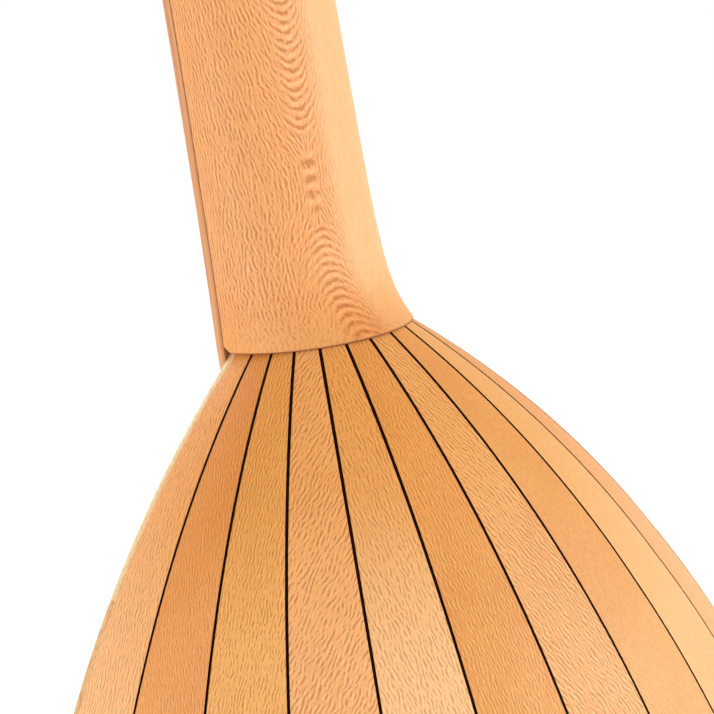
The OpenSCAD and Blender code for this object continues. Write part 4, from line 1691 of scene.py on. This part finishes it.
@dataclass
class StringRests:
    """Nut, bridge and tail saddle."""

    strings: Strings
    half_depth: float = 2.0
    bridge_half: float = 29.0
    crest_half: float = 0.9
    arch_middle: float = 13.5
    arch_radius: float = 5.2

    @staticmethod
    def block(name: str, low: Vector, high: Vector, rounding: float) -> Piece:
        """Adds a small block with rounded edges between two corners in millimetres."""
        Bench.clear_selection()
        bpy.ops.mesh.primitive_cube_add(size=1.0)
        piece = Bench.named(name)
        for vertex in piece.data.vertices:
            vertex.co = Vector([(low[axis] + high[axis]) / 2.0 + vertex.co[axis] * (high[axis] - low[axis])
                                for axis in range(3)]) * MM
        Bench.soften(piece, rounding, 3, 30.0)
        return piece

    def build(self) -> None:
        """Builds the three rests and ties them to the frame."""
        bone = Bone().material()
        strings = self.strings
        rests = (
            ("bone_nut", "nut", 15.0, STRING_Y_NUT - 0.35, NUT_Z + 0.02, 0.05,
             lambda index: Vector((strings.nut_x(index), STRING_Y_NUT, NUT_Z + 2.0))),
            ("bone_saddle", "tail_saddle", 21.0, BOARD_Y - 2.7, strings.saddle_z - self.half_depth, 0.35,
             lambda index: Vector((strings.saddle_x(index), STRING_Y_SADDLE, strings.saddle_z))),
        )
        for name, node, half, top, low, clearance, at in rests:
            piece = self.block(name, Vector((-half, top, low)),
                               Vector((half, BOARD_Y, low + 2.0 * self.half_depth)), 0.5)
            Bench.bore(piece, strings.slots(at, clearance, 12.0))
            Bench.smooth(piece)
            finish_piece(piece, bone, ROOT_BODY, "bone", node)
        self.build_bridge()

    def build_bridge(self) -> None:
        """Carves the three-footed bridge and ties it to its own body."""
        top_y, end_y = STRING_Y_BRIDGE - 0.25, BOARD_Y - 4.6

        def ring(share: float) -> list[Vector]:
            """Section of the bridge for a share of its width."""
            x = self.bridge_half * (2.0 * share - 1.0)
            from_end = self.bridge_half - abs(x)
            crest = end_y + (top_y - end_y) * smooth_step(from_end, 1.0, 7.0)
            if from_end <= 1.0:
                crest = BOARD_Y - 0.4 - 4.2 * from_end
            gap = self.arch_radius ** 2 - (abs(x) - self.arch_middle) ** 2
            foot = BOARD_Y - (math.sqrt(gap) if gap > 0.0 else 0.02)
            return [Vector((x, y, BRIDGE_Z + z)) for y, z in
                    ((foot, -self.half_depth), (foot, self.half_depth),
                     (crest, self.crest_half), (crest, -self.crest_half))]

        bridge = Bench.loft("carved_bridge", ring, 116)
        Bench.bore(bridge, self.strings.slots(
            lambda index: Vector((self.strings.bridge_x(index), STRING_Y_BRIDGE, BRIDGE_Z)), 0.6, 8.0))
        Bench.soften(bridge, 0.25, 2, 50.0)
        Bench.smooth(bridge)
        wood = PlainWood("bridge_wood", (84, 44, 26), (44, 22, 12), Grain.ACROSS, 800.0, 0.7, 0.35)
        finish_piece(bridge, wood.material(), "bridge", "dark_wood", "bridge")


@dataclass
class Tail:
    """Leaf over the staves' ends, tailpiece, pins and the lined sound hole."""

    bowl: Bowl
    strings: Strings
    cap_start: float = 66.0
    pad_angle: float = 81.6
    cap_thickness: float = 1.6
    tailpiece_width: float = 35.0
    tailpiece_depth: float = 13.0
    tailpiece_length: float = 10.0
    tailpiece_y: float = 0.6
    pin_depth: float = 6.9
    ring_wall: float = 1.6
    ring_flange: float = 2.4

    def pad_z(self) -> float:
        """Height of the flat pad that carries the tailpiece."""
        form = self.bowl.form
        run = form.tail_run + self.cap_thickness
        return HEEL_Z - form.belly - run * math.sin(math.radians(self.pad_angle))

    def build_cap(self) -> None:
        """Bends the leaf over the tail and closes it with its pad."""
        form = self.bowl.form
        shell_rows = 18
        pad_rows = 6

        def place(across: float, along: float) -> Vector:
            """Finds the leaf's point for a share of its way down."""
            row = along * (shell_rows + pad_rows)
            down = min(1.0, row / shell_rows)
            angle = self.cap_start + (self.pad_angle - self.cap_start) * down
            point = form.point(form.tail_section(angle, self.cap_thickness), across)
            inwards = max(0.0, (row - shell_rows) / pad_rows)
            return Vector((point.x * (1.0 - inwards), point.y * (1.0 - inwards), point.z))

        inside = Vector((0.0, 0.0, -1.05))
        cap = Bench.plate("tail_leaf", 72, shell_rows + pad_rows, place, lambda centre: centre - inside,
                          self.cap_thickness - 0.12, 0.4, 3, 50.0)
        Bench.bore(cap, [self.bowl.hole_cutter()])
        Bench.smooth(cap)
        wood = PlainWood("leaf_wood", (74, 36, 20), (38, 17, 9), rings=420.0, gloss=0.42, shine=0.25)
        finish_piece(cap, wood.material(), ROOT_BODY, "dark_wood", "tail_cap")

    def build_tailpiece(self) -> None:
        """Shapes the tailpiece and its seven pins."""
        low = self.pad_z() - self.tailpiece_length
        half = self.tailpiece_width / 2.0
        block = StringRests.block("hook_block", Vector((-half, self.tailpiece_y, low)),
                                  Vector((half, self.tailpiece_y + self.tailpiece_depth, self.pad_z())), 1.8)
        Bench.smooth(block)
        wood = PlainWood("hook_wood", (80, 40, 22), (40, 18, 10), Grain.ACROSS, 500.0, 0.7, 0.3)
        finish_piece(block, wood.material(), ROOT_BODY, "dark_wood", "tailpiece")
        radius = self.strings.pin_radius
        profile = [(0.0, 0.0), (radius, 0.0), (radius, 10.3), (radius + 0.45, 10.35),
                   (radius + 0.6, 10.7), (radius + 0.4, 10.95), (0.0, 11.1)]
        pins = []
        for index in range(PEG_COUNT):
            foot = Vector((self.strings.pin_x(index), self.tailpiece_y + self.pin_depth, self.strings.pin_z))
            pins.append(self.turned_at("pin", profile, 24, math.radians(90.0), foot))
        joined = Bench.join("string_pins", pins)
        Bench.smooth(joined)
        brass = Metal("brass", (212, 170, 92), (150, 108, 52), 0.25).material()
        finish_piece(joined, brass, ROOT_BODY, "brass", "tail_pins")

    @staticmethod
    def turned_at(name: str, profile: Profile, steps: int, tilt: float, foot: Vector) -> Piece:
        """Turns a piece on the lathe, tilts it about X and sets it down.

        Args:
            name: Name of the piece.
            profile: Radius and height of each point in millimetres.
            steps: Facets round the axis.
            tilt: Its tilt in radians.
            foot: Where its origin goes, in millimetres.

        Returns:
            The turned solid in its place.
        """
        piece = Bench.turned(name, profile, steps)
        piece.data.transform(Matrix.Translation(foot * MM) @ Matrix.Rotation(tilt, 4, "X"))
        return piece

    def build_ring(self) -> None:
        """Turns the ring that lines the sound hole."""
        middle, tilt = self.bowl.hole_seat()
        outer = self.bowl.sound_hole_d / 2.0
        inner, flange = outer - self.ring_wall, outer + self.ring_flange
        profile = [(inner, -7.0), (outer - 0.05, -7.0), (outer - 0.05, 1.6), (flange, 1.6), (flange, 2.2),
                   (flange - 0.4, 2.8), (flange - 1.2, 3.0), (inner + 0.4, 3.0), (inner, 2.6), (inner, -7.0)]
        ring = self.turned_at("hole_ring", profile, 72, math.pi + tilt, middle)
        Bench.smooth(ring)
        wood = PlainWood("ring_wood", (52, 26, 16), (26, 12, 8), rings=600.0, contrast=0.6, gloss=0.25)
        finish_piece(ring, wood.material(), ROOT_BODY, "dark_wood", "sound_hole_ring")

    def build(self) -> None:
        """Builds the tail's pieces and ties them to the frame."""
        self.build_cap()
        self.build_tailpiece()
        self.build_ring()


# ------------------------------------------------------------------ frets
@dataclass
class Frets:
    """Seventeen frets, each four turns of line tied round the neck."""

    form: NeckForm
    cents: tuple[int, ...] = (90, 150, 204, 294, 360, 408, 498, 588, 650, 702, 792, 855, 906, 996, 1060,
                              1110, 1200)
    line: float = 0.9
    turns: int = 4
    clearance: float = 0.12
    scale_length: float = 880.0
    knot_angle: float = 150.0
    corner: float = 0.55

    @property
    def grow(self) -> float:
        """How far the line's middle lies off the wood."""
        return self.clearance + self.line / 2.0

    def outline(self, h: float) -> list[Vector]:
        """Closed outline round neck and fingerboard, in X and Y, from the knot's place on."""
        edge, front = self.form.half(h) + self.grow, FINGERBOARD_Y - self.grow
        section = (edge, self.form.deep(h) + self.grow, 0.0, self.form.roundness)
        back = [BowlForm.round_point(180.0 * step / 60, section) for step in range(61)]
        arc = []
        for step in range(7):
            turn = math.radians(90.0 * step / 6.0)
            arc.append((edge - self.corner + self.corner * math.cos(turn),
                        front + self.corner - self.corner * math.sin(turn)))
        flat = [(x, front) for x in (-edge * 0.5, 0.0, edge * 0.5)]
        points = [Vector((x, y, 0.0)) for x, y in back + [(-x, y) for x, y in arc] + flat + arc[::-1]]
        start = round(self.knot_angle / 3.0)
        return points[start:] + points[:start]

    def winding(self, h: float) -> list[Vector]:
        """Path of the four turns, each level apart from a short step beside the knot."""
        ring = self.outline(h)
        low = HEEL_Z + h - self.line * (self.turns - 1) / 2.0
        path = []
        for turn in range(self.turns):
            for place, point in enumerate(ring):
                step = smooth_step(place / len(ring), 0.93, 1.0) if turn < self.turns - 1 else 0.0
                path.append(Vector((point.x, point.y, low + self.line * (turn + step))))
        return path

    def knot(self, h: float) -> list[list[Vector]]:
        """Three wraps over the turns and the two trimmed ends of the line."""
        ring = self.outline(h)
        middle, beside = ring[0], ring[1]
        along = (beside - middle).normalized()
        out = Vector((along.y, -along.x, 0.0))
        if out.dot(Vector((middle.x, middle.y, 0.0))) < 0.0:
            out = -out
        centre = Vector((middle.x, middle.y, HEEL_Z + h))
        band = self.line * self.turns / 2.0
        wraps = []
        for place in (-1.0, 0.0, 1.0):
            wrap = []
            for step in range(13):
                turn = math.pi * step / 12.0
                wrap.append(centre + along * (place * 0.95 + 0.25 * math.cos(turn)) * self.line
                            + out * self.line * (0.1 + 0.85 * math.sin(turn) ** 0.6)
                            + Vector((0.0, 0.0, (band + 0.25) * math.cos(turn))))
            wraps.append(wrap)
        for sign in (-1.0, 1.0):
            root = centre + along * 0.4 * sign * self.line + out * self.line * 0.6
            wraps.append([root + (Vector((0.0, 0.0, sign * (band * 0.6 + 0.7 * step)))
                                  + out * 0.12 * step + along * 0.2 * sign * step) for step in range(5)])
        return wraps

    def build(self) -> None:
        """Ties the frets and lets each ride on its own body."""
        material = NylonLine().material()
        for number, cents in enumerate(self.cents, start=1):
            place = self.scale_length * (1.0 - 2.0 ** (-cents / 1200.0))
            h = self.form.length - place
            name = f"fret_{number:02d}"
            fret = Bench.wire(f"tied_{name}", [self.winding(h), *self.knot(h)], self.line / 2.0)
            finish_piece(fret, material, name, "nylon", name)


# ------------------------------------------------------------------ inside the bowl
@dataclass
class Inside:
    """Blocks, linings and braces, which keep their solids and get their wood."""

    names: tuple[str, ...] = ("neck_block", "tail_block", "linings", "braces")

    def build(self) -> None:
        """Dresses the solids."""
        wood = PlainWood("block_wood", (226, 192, 142), (196, 152, 102), rings=420.0, contrast=0.6,
                         gloss=0.6).material()
        for name in self.names:
            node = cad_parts[name]
            node.data.materials.clear()
            node.data.materials.append(wood)
            log.info("%s: dressed", name)


# ------------------------------------------------------------------ studio
@dataclass(frozen=True)
class Lamp:
    """A soft square light: where it stands and points, its side in metres and its watts."""

    name: str
    place: Triple
    target: Triple
    size: float
    power: float

    def build(self) -> None:
        """Hangs the light."""
        Bench.clear_selection()
        aim = (Vector(self.target) - Vector(self.place)).to_track_quat("-Z", "Y").to_euler()
        bpy.ops.object.light_add(type="AREA", location=self.place, rotation=aim)
        lamp = bpy.context.active_object
        lamp.name = self.name
        lamp.data.shape = "SQUARE"
        lamp.data.size = self.size
        lamp.data.energy = self.power


@dataclass
class Studio:
    """Plain pale floor, soft lights and the camera."""

    eye: Triple = (0.21617, 0.29915, -0.67277)
    right: Triple = (-0.76391, 0.62480, -0.16144)
    up: Triple = (-0.24462, -0.04886, 0.96839)
    ahead: Triple = (-0.59716, -0.77925, -0.19017)
    lens: float = 79.26
    sensor: float = 36.0
    nearest: float = 0.01
    ambient: float = 0.52
    floor_colour: Colour = (214, 214, 212)
    floor_glow: float = 0.68
    floor_size: float = 14.0
    floor_gap: float = 0.004
    lamps: tuple[Lamp, ...] = (
        Lamp("light_back_right", (-1.0, 1.2, -0.5), (0.0, 0.02, -0.80), 0.9, 16.0),
        Lamp("light_left", (1.5, 0.1, -0.6), (0.0, 0.02, -0.80), 1.0, 11.5),
        Lamp("light_front", (-0.2, -1.8, -0.2), (0.0, 0.0, -0.6), 1.2, 18.0),
    )

    def build_camera(self) -> None:
        """Sets the camera at the photograph's place."""
        Bench.clear_selection()
        bpy.ops.object.camera_add()
        camera = bpy.context.active_object
        camera.name = "camera"
        camera.data.sensor_width = self.sensor
        camera.data.lens = self.lens
        camera.data.clip_start = self.nearest
        back = -Vector(self.ahead)
        turn = Matrix((self.right, self.up, back)).transposed()
        camera.matrix_world = Matrix.Translation(self.eye) @ turn.to_4x4()
        bpy.context.scene.camera = camera

    def build_world(self) -> None:
        """Makes the world white to look at and a soft even light on the object."""
        world = bpy.data.worlds.new("pale_room")
        bpy.context.scene.world = world
        graph = Graph(world)
        strength = graph.node("MapRange", Value=graph.pale_rays(), To_Min=self.ambient, To_Max=1.0)
        sky = graph.node("Background", Color=WHITE, Strength=strength.outputs["Result"])
        graph.node("OutputWorld", Surface=sky.outputs[0])

    def build_floor(self) -> None:
        """Lays the pale floor under the instrument, which keeps its shadow."""
        Bench.clear_selection()
        level = CAD_BOX[0][2] - self.floor_gap
        bpy.ops.mesh.primitive_plane_add(size=self.floor_size, location=(0.0, 0.0, level))
        floor = Bench.named("floor")
        Bench.settle(floor)
        material = bpy.data.materials.new("pale_floor")
        graph = Graph(material)
        paint = graph.node("BsdfDiffuse", Color=linear(self.floor_colour))
        glow = graph.node("Emission", Color=WHITE,
                          Strength=graph.calc("MULTIPLY", graph.pale_rays(), self.floor_glow))
        both = graph.node("AddShader")
        for socket, shader in zip(both.inputs, (paint, glow)):
            graph.feed(socket, shader.outputs[0])
        graph.node("OutputMaterial", Surface=both.outputs[0])
        floor.data.materials.append(material)

    def build(self) -> None:
        """Builds the studio."""
        self.build_camera()
        self.build_world()
        self.build_floor()
        for lamp in self.lamps:
            lamp.build()
        bpy.context.scene.view_settings.view_transform = "Standard"


def main() -> None:
    """Builds the instrument's looks in order and reports each piece."""
    logging.basicConfig(level=logging.INFO, format="%(name)s %(message)s", stream=sys.stdout)
    form = BowlForm()
    neck_form = NeckForm()
    bowl = Bowl(form)
    head = Head(neck_form)
    strings = Strings(head)
    bowl.build()
    Neck(neck_form).build()
    Soundboard(form).build()
    head.build()
    Pegs(head, strings).build()
    strings.build()
    StringRests(strings).build()
    Tail(bowl, strings).build()
    Frets(neck_form).build()
    Inside().build()
    Studio().build()


if __name__ == "__main__":
    main()
